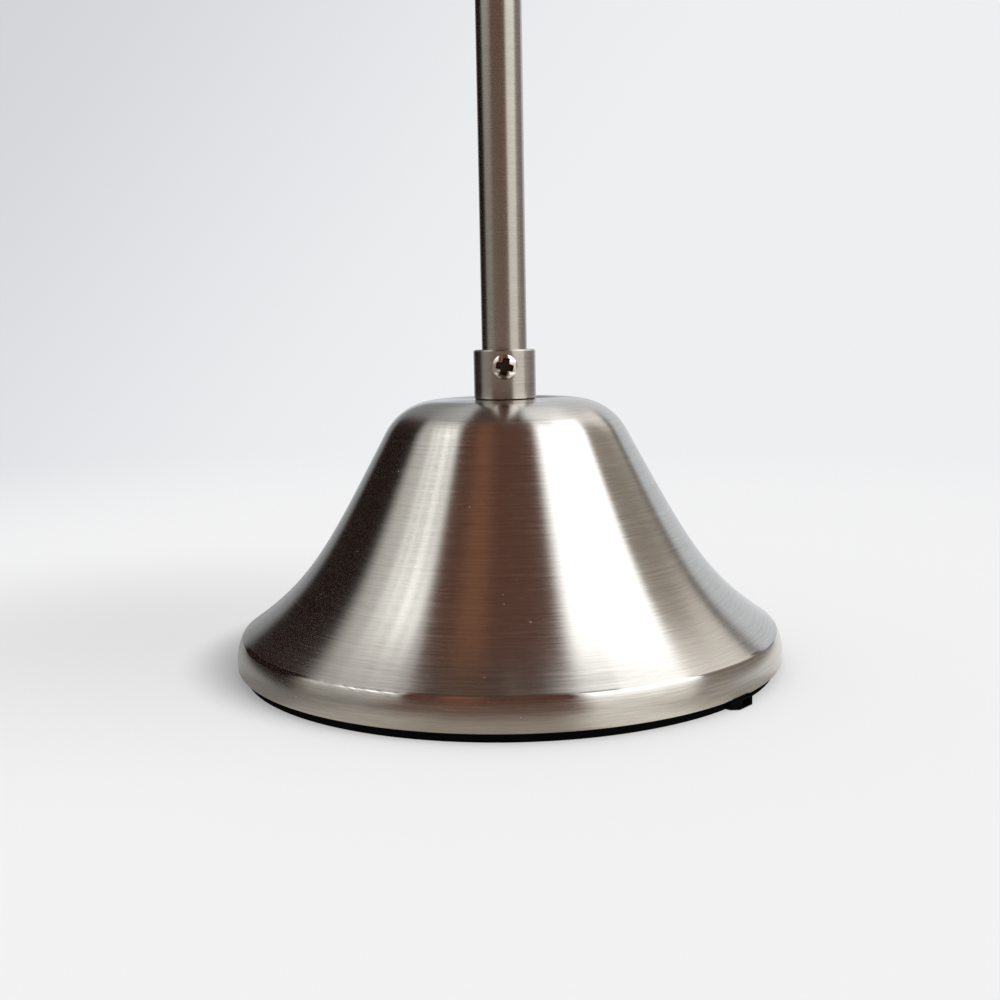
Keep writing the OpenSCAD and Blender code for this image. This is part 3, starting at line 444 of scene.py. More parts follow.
def makeEdgeWear():
    tree, given, result = makeGroup("edgeWear", ["Amount"], ["Mask"])
    pointed = makeNode(tree, "NewGeometry").outputs["Pointiness"]
    edge = ramp(tree, pointed, rubbing["edgeFrom"], rubbing["edgeTo"])
    broken = ramp(tree, noise(tree, given["Place"], rubbing["scale"], 3.0), rubbing["brokenFrom"],
                  rubbing["brokenTo"])
    feed(tree, result["Mask"], times(tree, times(tree, edge, broken), given["Amount"]))
    return tree


# the skin of a moulded, cast or painted surface, with mottling many grains across
def makeGrain(mottleScale=0.06):
    tree, given, result = makeGroup("grain", ["Size"], ["Height", "Mottle"])
    scale = calc(tree, "DIVIDE", 1.0, given["Size"])
    feed(tree, result["Height"], noise(tree, given["Place"], scale, 3.0, 0.6))
    broad = noise(tree, given["Place"], times(tree, scale, mottleScale), 3.0, 0.55)
    feed(tree, result["Mottle"], minus(tree, broad, 0.5))
    return tree


# a ring round the pole's axis, full on its own line and gone one width away
def makeRingMask(fullShare=0.4):
    tree, given, result = makeGroup("ringMask", ["Radius", "Height", "Width"], ["Mask"])
    x, y, z = parts(tree, given["Place"])
    aside = joined(tree, minus(tree, radiusOf(tree, x, y), given["Radius"]), minus(tree, z, given["Height"]))
    feed(tree, result["Mask"], ramp(tree, vectorCalc(tree, "LENGTH", aside), given["Width"],
                                    times(tree, given["Width"], fullShare)))
    return tree


brushLines = makeBrushLines()
ringMask = makeRingMask()
dustSpecks = makeDustSpecks()
fineScratches = makeFineScratches()
edgeWear = makeEdgeWear()
grain = makeGrain()

# finishes, each made once; lines and relief are how far the brushing shows in roughness and height
turnedLooks = {
    "brushedNickel": {"color": (0.64, 0.62, 0.585), "roughness": 0.21, "anisotropy": 0.88, "tone": 0.5,
                      "lines": 0.13, "relief": 0.03, "dust": 0.32, "scratches": 0.7, "haze": 0.018},
    "turnedNickel": {"color": (0.62, 0.6, 0.565), "roughness": 0.26, "anisotropy": 0.75, "tone": 0.34,
                     "lines": 0.05, "relief": 0.012, "dust": 0.02, "scratches": 0.2},
    "nickelTube": {"color": (0.62, 0.6, 0.565), "roughness": 0.27, "anisotropy": 0.72, "tone": 0.3,
                   "lines": 0.04, "relief": 0.006, "dust": 0.02, "scratches": 0.2},
    "hoodNickel": {"color": (0.64, 0.62, 0.585), "roughness": 0.24, "anisotropy": 0.82, "tone": 0.45,
                   "lines": 0.08, "relief": 0.08, "dust": 0.05, "scratches": 0.4},
    "socketNickel": {"color": (0.58, 0.56, 0.53), "roughness": 0.26, "anisotropy": 0.6, "tone": 0.2,
                     "lines": 0.06, "relief": 0.06, "dust": 0.02, "scratches": 0.3},
    "brightScrew": {"color": (0.82, 0.78, 0.71), "roughness": 0.13, "anisotropy": 0.0, "tone": 0.15,
                    "lines": 0.03, "relief": 0.03, "dust": 0.0, "scratches": 0.3},
}
turnedDetail = {
    "broadTone": 0.7, "broadRelief": 0.15, "lineDepth": 0.05 * mm, "smudgeScale": 22.0, "smudge": 0.05,
    "speckSpacing": 2.4 * mm, "speckShare": 0.55, "speckRough": 0.5, "speckColor": (0.62, 0.60, 0.57),
    "scratchShare": 0.5, "scratchColor": (0.80, 0.78, 0.75), "quarterTurn": 0.25,
    "haze": 0.01, "hazeSize": 0.9 * mm, "hazeFrom": 0.36, "hazeTo": 0.74,
}


def startMaterial(name):
    material = bpy.data.materials.new(name)
    material.use_nodes = True
    tree = material.node_tree
    return material, tree, tree.nodes["Principled BSDF"], makeNode(tree, "TexCoord").outputs["Object"]


def dustOn(tree, place, spacing, amount):
    return useGroup(tree, dustSpecks, place, {"Spacing": spacing, "Amount": amount})["Mask"]


@cache
def turnedFinish(kind, axisName):
    look = turnedLooks[kind]
    detail = turnedDetail
    turning = turningAxes[axisName]
    material, tree, shader, place = startMaterial(kind + "." + axisName)
    local = makeNode(tree, "Mapping", {"Vector": place, "Location": turning["centre"],
                                       "Rotation": turning["axis"].to_track_quat("Z", "Y").to_euler()},
                     vector_type="TEXTURE").outputs[0]
    lines = useGroup(tree, brushLines, local, {})
    lined = timesPlus(tree, lines["Broad"], detail["broadTone"], lines["Fine"])
    specked = dustOn(tree, place, detail["speckSpacing"], look["dust"])
    scratch = useGroup(tree, fineScratches, place, {"Amount": look["scratches"]})["Mask"]
    bloom = ramp(tree, noise(tree, place, 1 / detail["hazeSize"], 1.0), detail["hazeFrom"], detail["hazeTo"],
                 0.0, look.get("haze", detail["haze"]))
    dust = timesPlus(tree, specked, detail["speckShare"], bloom)
    toned = scaled(tree, look["color"], timesPlus(tree, lined, look["tone"], 1.0))
    scratched = mixColor(tree, times(tree, scratch, detail["scratchShare"]), toned, detail["scratchColor"])
    feed(tree, shader.inputs["Base Color"], mixColor(tree, dust, scratched, detail["speckColor"]))
    rough = timesPlus(tree, lined, look["lines"], look["roughness"])
    smudge = minus(tree, noise(tree, place, detail["smudgeScale"], 2.0), 0.5)
    rough = timesPlus(tree, smudge, detail["smudge"], rough)
    feed(tree, shader.inputs["Roughness"], timesPlus(tree, dust, detail["speckRough"], rough))
    feed(tree, shader.inputs["Metallic"], minus(tree, 1.0, dust))
    shader.inputs["Anisotropic"].default_value = look["anisotropy"]
    shader.inputs["Anisotropic Rotation"].default_value = detail["quarterTurn"]
    arm = vectorCalc(tree, "SUBTRACT", place, turning["centre"])
    around = vectorCalc(tree, "CROSS_PRODUCT", turning["axis"], arm)
    tangent = makeNode(tree, "VectorTransform", {0: around}, vector_type="VECTOR",
                       convert_from="OBJECT", convert_to="WORLD").outputs[0]
    feed(tree, shader.inputs["Tangent"], tangent)
    height = timesPlus(tree, lines["Broad"], detail["broadRelief"], lines["Fine"])
    height = timesPlus(tree, scratch, -1.0, height)
    bump = makeNode(tree, "Bump", {"Height": height, "Strength": look["relief"],
                                   "Distance": detail["lineDepth"]})
    feed(tree, shader.inputs["Normal"], bump.outputs[0])
    return material


# what a stock finish doesn't say is as in the first of these
usualStock = {"metallic": 0.0, "dust": 0.02, "wear": 0.5, "coat": 0.0, "specular": 0.5}
stockLooks = {
    "zincSteel": {"color": (0.66, 0.67, 0.68), "worn": (0.8, 0.8, 0.8), "metallic": 1.0, "roughness": 0.34,
                  "mottle": 0.35, "size": 0.5 * mm, "relief": 0.1, "dust": 0.05},
    "darkSteel": {"color": (0.16, 0.16, 0.17), "worn": (0.45, 0.44, 0.43), "metallic": 1.0,
                  "roughness": 0.42, "mottle": 0.4, "size": 0.2 * mm, "relief": 0.1, "dust": 0.05,
                  "wear": 0.8},
    # painted shade: the screw's cross recess is coloured dark to stand for the shade inside it, not the
    # metal's own colour
    "screwRecess": {"color": (0.06, 0.034, 0.024), "worn": (0.35, 0.27, 0.2), "metallic": 0.8,
                    "roughness": 0.38, "mottle": 0.8, "size": 0.4 * mm, "relief": 0.2, "dust": 0.0,
                    "wear": 0.6},
    "castIron": {"color": (0.12, 0.12, 0.13), "worn": (0.3, 0.28, 0.27), "metallic": 0.6, "roughness": 0.7,
                 "mottle": 0.5, "size": 1.1 * mm, "relief": 0.5, "dust": 0.2},
    "brass": {"color": (0.72, 0.55, 0.28), "worn": (0.85, 0.7, 0.42), "metallic": 1.0, "roughness": 0.26,
              "mottle": 0.25, "size": 0.3 * mm, "relief": 0.04, "dust": 0.03},
    "bulbCap": {"color": (0.78, 0.78, 0.79), "worn": (0.88, 0.88, 0.88), "metallic": 1.0,
                "roughness": 0.22, "mottle": 0.15, "size": 0.3 * mm, "relief": 0.03},
    # black rubber, coloured darker than rubber is so that it also stands for the shade under the bell's rim:
    # its own black and painted shade together
    "blackRubber": {"color": (0.003, 0.003, 0.003), "worn": (0.012, 0.012, 0.012), "roughness": 0.8,
                    "mottle": 0.35, "size": 0.35 * mm, "relief": 0.35, "dust": 0.01, "wear": 0.3,
                    "specular": 0.02},
    "blackNylon": {"color": (0.028, 0.028, 0.03), "worn": (0.1, 0.1, 0.1), "roughness": 0.42,
                   "mottle": 0.2, "size": 0.25 * mm, "relief": 0.12, "dust": 0.05, "wear": 0.3},
    "phenolic": {"color": (0.09, 0.05, 0.035), "worn": (0.2, 0.13, 0.09), "roughness": 0.3, "mottle": 0.6,
                 "size": 0.8 * mm, "relief": 0.05, "dust": 0.03, "wear": 0.4},
    "fibreSleeve": {"color": (0.55, 0.46, 0.33), "worn": (0.7, 0.62, 0.5), "roughness": 0.72,
                    "mottle": 0.4, "size": 0.4 * mm, "relief": 0.25, "wear": 0.4},
    "whitePlastic": {"color": (0.86, 0.86, 0.84), "worn": (0.9, 0.9, 0.88), "roughness": 0.36,
                     "mottle": 0.06, "size": 0.3 * mm, "relief": 0.06, "wear": 0.2},
    "frostedGlobe": {"color": (0.92, 0.92, 0.9), "worn": (0.95, 0.95, 0.94), "roughness": 0.5,
                     "mottle": 0.03, "size": 0.18 * mm, "relief": 0.1, "dust": 0.03, "wear": 0.0,
                     "depth": 4 * mm},
    "whiteEnamel": {"color": (0.84, 0.84, 0.82), "worn": (0.86, 0.86, 0.84), "roughness": 0.28,
                    "mottle": 0.02, "size": 1.4 * mm, "relief": 0.1, "dust": 0.04, "wear": 0.0,
                    "coat": 0.5},
}
stockDetail = {
    "speckSpacing": 2.5 * mm, "speckRough": 0.3, "speckColor": (0.45, 0.44, 0.42), "mottleRough": 0.25,
    "wornRough": -0.1, "grainDepth": 0.3, "inside": 0.5, "insideTint": (1.0, 0.9, 0.8),
}


@cache
def stockFinish(kind):
    look = {**usualStock, **stockLooks[kind]}
    detail = stockDetail
    material, tree, shader, place = startMaterial(kind)
    skin = useGroup(tree, grain, place, {"Size": look["size"]})
    dust = dustOn(tree, place, detail["speckSpacing"], look["dust"])
    wear = useGroup(tree, edgeWear, place, {"Amount": look["wear"]})["Mask"]
    toned = scaled(tree, look["color"], timesPlus(tree, skin["Mottle"], look["mottle"] * 2, 1.0))
    worn = mixColor(tree, wear, toned, look["worn"])
    feed(tree, shader.inputs["Base Color"], mixColor(tree, dust, worn, detail["speckColor"]))
    rough = timesPlus(tree, skin["Mottle"], detail["mottleRough"], look["roughness"])
    rough = timesPlus(tree, wear, detail["wornRough"], rough)
    feed(tree, shader.inputs["Roughness"], timesPlus(tree, dust, detail["speckRough"], rough))
    if look["metallic"]:
        feed(tree, shader.inputs["Metallic"], times(tree, minus(tree, 1.0, dust), look["metallic"]))
    shader.inputs["Coat Weight"].default_value = look["coat"]
    shader.inputs["Specular IOR Level"].default_value = look["specular"]
    if "depth" in look:
        shader.inputs["Subsurface Weight"].default_value = detail["inside"]
        shader.inputs["Subsurface Radius"].default_value = detail["insideTint"]
        shader.inputs["Subsurface Scale"].default_value = look["depth"]
    bump = makeNode(tree, "Bump", {"Height": skin["Height"], "Strength": look["relief"],
                                   "Distance": look["size"] * detail["grainDepth"]})
    feed(tree, shader.inputs["Normal"], bump.outputs[0])
    return material


# a slot in the record is a finish here
def finishOf(node):
    kind = plainName(slotOf[node])
    return stockFinish(kind) if kind in stockLooks else turnedFinish(kind, axisOf(node))


print("finishes ready")


# mesh helpers
def arcPoints(centre, radius, start, end, count=12):
    return [(centre[0] + radius * math.cos(rad(start + (end - start) * i / count)),
             centre[1] + radius * math.sin(rad(start + (end - start) * i / count)))
            for i in range(count + 1)]


def across(angle):
    return Vector((math.cos(rad(angle)), math.sin(rad(angle))))


def inMm(*sizes):
    return [size * mm for size in sizes]


# rounds the corners of an outline, all alike or each by its own size
def soften(points, sizes, steps=3):
    rounded = []
    for i, point in enumerate(points):
        size = sizes[i] if isinstance(sizes, list) else sizes
        corner = Vector(point)
        before = Vector(points[i - 1]) - corner
        after = Vector(points[(i + 1) % len(points)]) - corner
        if not size:
            rounded.append(tuple(corner))
            continue
        start = corner + before.normalized() * min(size, before.length * 0.45)
        end = corner + after.normalized() * min(size, after.length * 0.45)
        rounded += [tuple(start.lerp(corner, j / steps).lerp(corner.lerp(end, j / steps), j / steps))
                    for j in range(steps + 1)]
    return rounded


def ringOutline(inner, outer, low, high, size, steps=3):
    return soften([(inner, low), (outer, low), (outer, high), (inner, high)], size, steps)


def solidOutline(radius, low, high, size):
    return soften([(0, low), (radius, low), (radius, high), (0, high)], [0, size, size, 0])


# a tube with a wider flange at its upper end
def flangedOutline(hole, body, flange, low, shoulder, high, sizes):
    return soften([(hole, low), (body, low), (body, shoulder), (flange, shoulder), (flange, high),
                   (hole, high)], sizes)


def tidied(mesh, merge=True):
    if merge:
        bmesh.ops.remove_doubles(mesh, verts=mesh.verts, dist=1e-6)
    bmesh.ops.recalc_face_normals(mesh, faces=mesh.faces)
    return mesh


def moved(mesh, matrix):
    bmesh.ops.transform(mesh, matrix=matrix, verts=mesh.verts)
    return mesh


def spinOutline(outline, steps=96, closed=True):
    mesh = bmesh.new()
    verts = [mesh.verts.new((radius, 0, height)) for radius, height in outline]
    pairs = list(zip(verts, verts[1:]))
    if closed:
        pairs.append((verts[-1], verts[0]))
    edges = [mesh.edges.new(pair) for pair in pairs]
    bmesh.ops.spin(mesh, geom=verts + edges, cent=(0, 0, 0), axis=(0, 0, 1), angle=math.tau,
                   steps=steps, use_merge=True)
    return tidied(mesh)


# a piece turned on the lathe with its axis along Z goes onto its own axis on the lamp
def putOnAxis(mesh, node):
    turning = turningAxes[axisOf(node)]
    turn = turning["axis"].to_track_quat("Z", "Y").to_matrix().to_4x4()
    return moved(mesh, Matrix.Translation(turning["centre"]) @ turn)


# where a node begins and ends along its axis, and its radius round it
def reachOf(node):
    turning = turningAxes[axisOf(node)]
    low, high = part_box(node)
    ends = sorted(((low - turning["centre"]) @ turning["axis"], (high - turning["centre"]) @ turning["axis"]))
    sizes = [size for size, share in zip(high - low, turning["axis"]) if abs(share) < 0.5]
    return ends[0], ends[1], min(sizes) / 2


# cuts or trims a mesh with others; each cutter is (mesh, operation)
def carve(mesh, *cutters):
    body = makeObject(mesh, "blank")
    tools = []
    for cutter, operation in cutters:
        tools.append(makeObject(cutter, "cutter"))
        cut = body.modifiers.new("cut", "BOOLEAN")
        cut.operation = operation
        cut.solver = "EXACT"
        cut.object = tools[-1]
    result = bmesh.new()
    result.from_object(body, bpy.context.evaluated_depsgraph_get())
    for made in [body] + tools:
        data = made.data
        bpy.data.objects.remove(made)
        bpy.data.meshes.remove(data)
    return result


def drill(radius, depth, place, turn=None, segments=64):
    mesh = bmesh.new()
    bmesh.ops.create_cone(mesh, cap_ends=True, segments=segments, radius1=radius, radius2=radius, depth=depth)
    return moved(mesh, Matrix.Translation(place) @ (turn or Matrix.Identity(4)))


# a six-sided bar, measured across its flats
def hexBar(flats, depth, height):
    return drill(flats / 2 / math.cos(rad(30)), depth, (0, 0, height), segments=6)


def softenEdges(mesh, size, angle=35, segments=2):
    edges = [edge for edge in mesh.edges if edge.is_manifold and edge.calc_face_angle(0) > rad(angle)]
    bmesh.ops.bevel(mesh, geom=edges, offset=size, offset_type="OFFSET", affect="EDGES",
                    segments=segments, profile=0.5, material=-1, clamp_overlap=True)
    return mesh


# keeps what is on the near side of a plane
def cutAway(mesh, place, outwards):
    bmesh.ops.bisect_plane(mesh, geom=mesh.verts[:] + mesh.edges[:] + mesh.faces[:], plane_co=place,
                           plane_no=outwards, clear_outer=True)


def joinMeshes(first, *others):
    for other in others:
        spare = bpy.data.meshes.new("spare")
        other.to_mesh(spare)
        other.free()
        first.from_mesh(spare)
        bpy.data.meshes.remove(spare)
    return first


def finishPiece(mesh, node, smoothAngle=40, second=None):
    for face in mesh.faces:
        face.smooth = True
    piece = makeObject(mesh, ownName.get(node, plainName(node)))
    piece.data.set_sharp_from_angle(angle=rad(smoothAngle))
    for material in [finishOf(node)] + ([stockFinish(second)] if second else []):
        piece.data.materials.append(material)
    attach(piece, bodyOf[node])
    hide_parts(node)
    return piece


# flat faces stay flat where they meet rounded edges
def keepFlats(piece):
    flats = piece.modifiers.new("flats", "WEIGHTED_NORMAL")
    flats.keep_sharp = True


def turnedPiece(node, outline, steps=96, closed=True):
    keepFlats(finishPiece(putOnAxis(spinOutline(outline, steps, closed), node), node))


# a node's own shape with its edges softened
softEdge = {"base_pad": 0.5 * mm, "cord_gland": 0.35 * mm, "swivel_head": 0.45 * mm,
            "arm_tongue": 0.45 * mm, "arm_ferrule": 0.4 * mm}


def softPiece(node):
    mesh = bmesh.new()
    mesh.from_mesh(frame["nodes"][node].data)
    bmesh.ops.remove_doubles(mesh, verts=mesh.verts, dist=1e-6)
    bmesh.ops.dissolve_limit(mesh, angle_limit=rad(1), verts=mesh.verts, edges=mesh.edges)
    keepFlats(finishPiece(softenEdges(tidied(mesh, merge=False), softEdge[node]), node))


# sheet metal: an outer skin is given its wall inwards
def addWall(piece, thickness):
    wall = piece.modifiers.new("wall", "SOLIDIFY")
    wall.thickness = thickness
    wall.offset = -1
    return wall


# plain washers stand a little clear of what turns against them
washers = {"clear": 0.02 * mm, "edge": 0.25 * mm, "steps": 72,
           "holes": {"swivel_washer": 5.06 * mm, "tilt_washers": 3.06 * mm, "knob_washer": 3.06 * mm,
                     "shade_washer": 5.06 * mm, "stem_bush_nut": 3.55 * mm}}


def makeWasher(node):
    low, high, radius = reachOf(node)
    clear = washers["clear"]
    outline = ringOutline(washers["holes"][node], radius, low + clear, high - clear, washers["edge"])
    turnedPiece(node, outline, washers["steps"])


# a straight thread: one turn of a tooth, repeated along the axis, then cut off square
def spinThread(tooth, pitch, low, high, steps=32):
    mesh = bmesh.new()
    verts = [mesh.verts.new((radius, 0, height * pitch)) for radius, height in tooth]
    edges = [mesh.edges.new(pair) for pair in zip(verts, verts[1:])]
    bmesh.ops.spin(mesh, geom=verts + edges, cent=(0, 0, 0), axis=(0, 0, 1), angle=math.tau,
                   dvec=(0, 0, pitch / steps), steps=steps, use_merge=False)
    oneTurn = bpy.data.meshes.new("turn")
    mesh.to_mesh(oneTurn)
    mesh.clear()
    oneTurn.transform(Matrix.Translation((0, 0, low - 2 * pitch)))
    for i in range(math.ceil((high - low) / pitch) + 3):
        mesh.from_mesh(oneTurn)
        oneTurn.transform(Matrix.Translation((0, 0, pitch)))
    bpy.data.meshes.remove(oneTurn)
    bmesh.ops.remove_doubles(mesh, verts=mesh.verts, dist=1e-6)
    for height, side in ((low, -1), (high, 1)):
        cutAway(mesh, (0, 0, height), (0, 0, side))
        rim = [edge for edge in mesh.edges if edge.is_boundary and
               all(abs(vert.co.z - height) < 1e-6 for vert in edge.verts)]
        bmesh.ops.holes_fill(mesh, edges=rim, sides=0)
    return tidied(mesh, merge=False)


# screws and hollow rods whose thread shows
threads = {"height_screw": {"outer": 3.0 * mm, "root": 2.5 * mm, "pitch": 1.0 * mm, "steps": 32},
           "shade_nipple": {"outer": 5.0 * mm, "root": 4.45 * mm, "pitch": 1.0 * mm, "steps": 40}}


def threadedRod(node):
    low, high, radius = reachOf(node)
    thread = threads[node]
    outer, root = thread["outer"], thread["root"]
    tooth = [(root, 0.0), (root, 0.1), (outer, 0.45), (outer, 0.55), (root, 0.9), (root, 1.0)]
    mesh = spinThread(tooth, thread["pitch"], low, high, thread["steps"])
    finishPiece(putOnAxis(mesh, node), node, smoothAngle=50)


# the bell
bell = {
    "rimHeight": 12 * mm, "rimFlat": 1.5 * mm, "rimLean": 26, "flareLean": 55.5, "flankLean": 28.6,
    "shoulderRadius": 25.2 * mm, "topFlatRadius": 28.8 * mm, "creaseFillet": 1.6 * mm,
    "edgeFillet": 0.8 * mm, "wall": 1.2 * mm, "pullLow": 0.346, "pullHigh": 0.51,
    "hole": 5.3 * mm, "steps": 192, "flareSteps": 36, "polishWidth": 1.5 * mm, "polish": 0.6,
}


def bellOutline():
    low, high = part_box("base_shell")
    radius = min(high.x, high.y, -low.x, -low.y)
    height = high.z - low.z
    rimLean, flareLean, flankLean = bell["rimLean"], bell["flareLean"], bell["flankLean"]
    arcStart = bell["edgeFillet"] + bell["rimFlat"]
    rimRadius = (bell["rimHeight"] - arcStart) / math.sin(rad(rimLean))
    rimCentre = Vector((radius - rimRadius, arcStart))
    rimEnd = rimCentre + rimRadius * across(rimLean)
    creaseCentre = rimEnd - bell["creaseFillet"] * across(rimLean)
    creaseEnd = creaseCentre + bell["creaseFillet"] * across(flareLean)
    crease = (rimEnd + creaseEnd) / 2 + Vector((0, low.z))
    shoulderCentre = Vector((bell["topFlatRadius"], height - bell["shoulderRadius"]))
    flankEnd = shoulderCentre + bell["shoulderRadius"] * across(flankLean)
    chord = (flankEnd - creaseEnd).length
    pulls = (creaseEnd + bell["pullLow"] * chord * across(flareLean + 90),
             flankEnd - bell["pullHigh"] * chord * across(flankLean + 90))
    outline = [(radius - bell["wall"], 0)]
    outline += arcPoints((radius - bell["edgeFillet"], bell["edgeFillet"]), bell["edgeFillet"], -90, 0, 5)
    outline += arcPoints(rimCentre, rimRadius, 0, rimLean, 12)
    outline += arcPoints(creaseCentre, bell["creaseFillet"], rimLean, flareLean, 6)
    for i in range(1, bell["flareSteps"]):
        t = i / bell["flareSteps"]
        u = 1 - t
        outline.append(u ** 3 * creaseEnd + 3 * t * u * u * pulls[0] + 3 * t * t * u * pulls[1]
                       + t ** 3 * flankEnd)
    outline += arcPoints(shoulderCentre, bell["shoulderRadius"], flankLean, 90, 24)
    outline.append((bell["hole"], height))
    return [(r, z + low.z) for r, z in outline], crease


# the crease is rubbed brighter than the brushed metal beside it
def polishCrease(crease):
    tree = finishOf("base_shell").node_tree
    rough = tree.nodes["Principled BSDF"].inputs["Roughness"]
    mask = useGroup(tree, ringMask, makeNode(tree, "TexCoord").outputs["Object"],
                    {"Radius": crease.x, "Height": crease.y, "Width": bell["polishWidth"]})["Mask"]
    share = timesPlus(tree, mask, -bell["polish"], 1.0)
    feed(tree, rough, times(tree, rough.links[0].from_socket, share))


def makeBell():
    outline, crease = bellOutline()
    addWall(finishPiece(spinOutline(outline, bell["steps"], closed=False), "base_shell", 60), bell["wall"])
    polishCrease(crease)


makeBell()
softPiece("base_pad")
softPiece("cord_gland")
print("bell and pad done")


# collars and their screws
collars = {"base_collar": {"screw": "collar_screw", "hole": 5.1 * mm},
           "clamp_collar": {"screw": "clamp_collar_screw", "hole": 9.55 * mm}}
collarCut = {"bevel": 0.6 * mm, "spotRadius": 5.5 * mm, "spotDepth": 0.6 * mm, "cutter": 10 * mm,
             "steps": 144}
screwHead = {"radius": 5.2 * mm, "height": 3.2 * mm, "shank": 2.5 * mm, "side": 0.35, "turn": -13,
             "reach": 0.80, "width": 0.64, "floor": 0.20, "tall": 0.9, "taper": 0.70, "narrow": 0.55,
             "edge": 0.18 * mm}


# a cross-recessed pan head on a shank, standing on Z
def panScrew(look, shankLength):
    radius, height, shank = look["radius"], look["height"], look["shank"]
    side = height * look["side"]
    rise = height - side
    dome = (radius ** 2 + rise ** 2) / (2 * rise)
    reach = math.degrees(math.asin(radius / dome))
    top = arcPoints((0, height - dome), dome, 90 - reach, 90, 14)
    outline = [(0, -shankLength), (shank, -shankLength), (shank, 0), (radius - 0.15 * mm, 0),
               (radius, 0.2 * mm), (radius, side - 0.25 * mm), (radius - 0.08 * mm, side + 0.05 * mm)]
    mesh = spinOutline(outline + top[1:-1] + [(0, height)], 72, closed=False)
    blades = []
    for turn in (look["turn"], look["turn"] + 90):
        blade = bmesh.new()
        bmesh.ops.create_cube(blade, size=1)
        size = Vector((2 * radius * look["reach"], radius * look["width"], height * look["tall"]))
        bmesh.ops.scale(blade, vec=size, verts=blade.verts)
        for vert in blade.verts:
            if vert.co.z < 0:
                vert.co.x *= look["taper"]
                vert.co.y *= look["narrow"]
        lift = Matrix.Translation((0, 0, height * (look["floor"] + look["tall"] / 2)))
        blades.append((moved(blade, Matrix.Rotation(rad(turn), 4, "Z") @ lift), "DIFFERENCE"))
    mesh = softenEdges(carve(mesh, *blades), look["edge"], 38)
    # the recess faces take the second material, the painted shade
    for face in mesh.faces:  # the recess is the second material
        x, y, z = face.calc_center_median()
        inside = math.hypot(x, y) < radius * (look["reach"] + 0.05)
        if inside and 0 < z < height - dome + math.sqrt(dome ** 2 - x * x - y * y) - 0.07 * mm:
            face.material_index = 1
    return mesh


# a collar has a flat face cut in its side for the screw's head
def makeCollar(node, collar):
    screw = middleOf(collar["screw"])
    low, high, radius = reachOf(node)
    blank = spinOutline(ringOutline(collar["hole"], radius, low, high, collarCut["bevel"], 1),
                        collarCut["steps"])
    out = radius - collarCut["spotDepth"] + collarCut["cutter"] / 2
    spot = drill(collarCut["spotRadius"], collarCut["cutter"], (0, out if screw.y > 0 else -out, screw.z),
                 Matrix.Rotation(rad(90), 4, "X"))
    keepFlats(finishPiece(carve(blank, (spot, "DIFFERENCE")), node, smoothAngle=25))


def makeCollarScrew(node):
    low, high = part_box(node)
    behind = middleOf(node).y > 0
    seat = (high.y if behind else -low.y) - screwHead["height"]
    mesh = panScrew(screwHead, high.y - low.y - screwHead["height"])
    turn = Matrix.Rotation(rad(90), 4, "X")
    if behind:
        turn = Matrix.Rotation(rad(180), 4, "Z") @ turn
    moved(mesh, Matrix.Translation((0, seat if behind else -seat, middleOf(node).z)) @ turn)
    finishPiece(mesh, node, 30, "screwRecess")


for node, collar in collars.items():
    makeCollar(node, collar)
for collar in collars.values():
    makeCollarScrew(collar["screw"])


# the poles, and what closes them
tubeWall = {"lower_pole": 1.2 * mm, "mast_tube": 1.0 * mm, "arm_tube": 1.0 * mm}
fittings = {"rodHole": 5.06 * mm, "bushFlange": 1.5 * mm, "bushHole": 8.06 * mm, "capFlange": 8 * mm,
            "plugRadius": 6.95 * mm, "bushBody": 10.46 * mm, "tubeEdge": 0.2 * mm,
            "grooveAt": 2.2 * mm, "grooveDepth": 0.35 * mm, "grooveWidth": 0.8 * mm}


def makeTube(node, wall):
    low, high, radius = reachOf(node)
    turnedPiece(node, ringOutline(radius - wall, radius, low, high, fittings["tubeEdge"]), 144)


def makeGuideBush():
    low, high, radius = reachOf("guide_bush")
    outline = flangedOutline(fittings["bushHole"], fittings["bushBody"], radius, low,
                             high - fittings["bushFlange"], high, inMm(0.2, 0.3, 0, 0.3, 0.5, 0.3))
    turnedPiece("guide_bush", outline)


# the cap has a turned line near its lower edge, as on good hardware
def makeMastCap():
    low, high, radius = reachOf("mast_cap")
    hole, plug = fittings["rodHole"], fittings["plugRadius"]
    flange = high - fittings["capFlange"]
    at = flange + fittings["grooveAt"]
    deep = radius - fittings["grooveDepth"]
    half = fittings["grooveWidth"] / 2
    bevel = collarCut["bevel"]
    points = [(hole, flange), (radius, flange), (radius, at - half), (deep, at - half / 2),
              (deep, at + half / 2), (radius, at + half), (radius, high), (hole, high)]
    outline = soften(points, [0.1 * mm, bevel, *inMm(0.12, 0.1, 0.1, 0.12), bevel, 0.1 * mm])
    turnedPiece("mast_cap", [(hole, low), (plug, low), (plug, flange)] + outline[4:])


for node, wall in tubeWall.items():
    makeTube(node, wall)
makeGuideBush()
makeMastCap()
makeWasher("swivel_washer")
softPiece("swivel_head")
print("pole and mast done")


# knobs: flutes are pressed into the side, and a ring is turned in the face
knobs = {"flutes": 16, "fluteRadius": 1.1 * mm, "fluteOut": 0.33, "stepsPerFlute": 14,
         "bevel": 1.0 * mm, "slope": 0.3 * mm}
knobRings = {"height_knob": {"outer": 0.70, "inner": 0.60, "depth": 0.45 * mm},
             "tilt_knob": {"outer": 0.72, "inner": 0.62, "depth": 0.50 * mm},
             "switch_knob": {"outer": 0.62, "inner": 0.50, "depth": 0.35 * mm}}


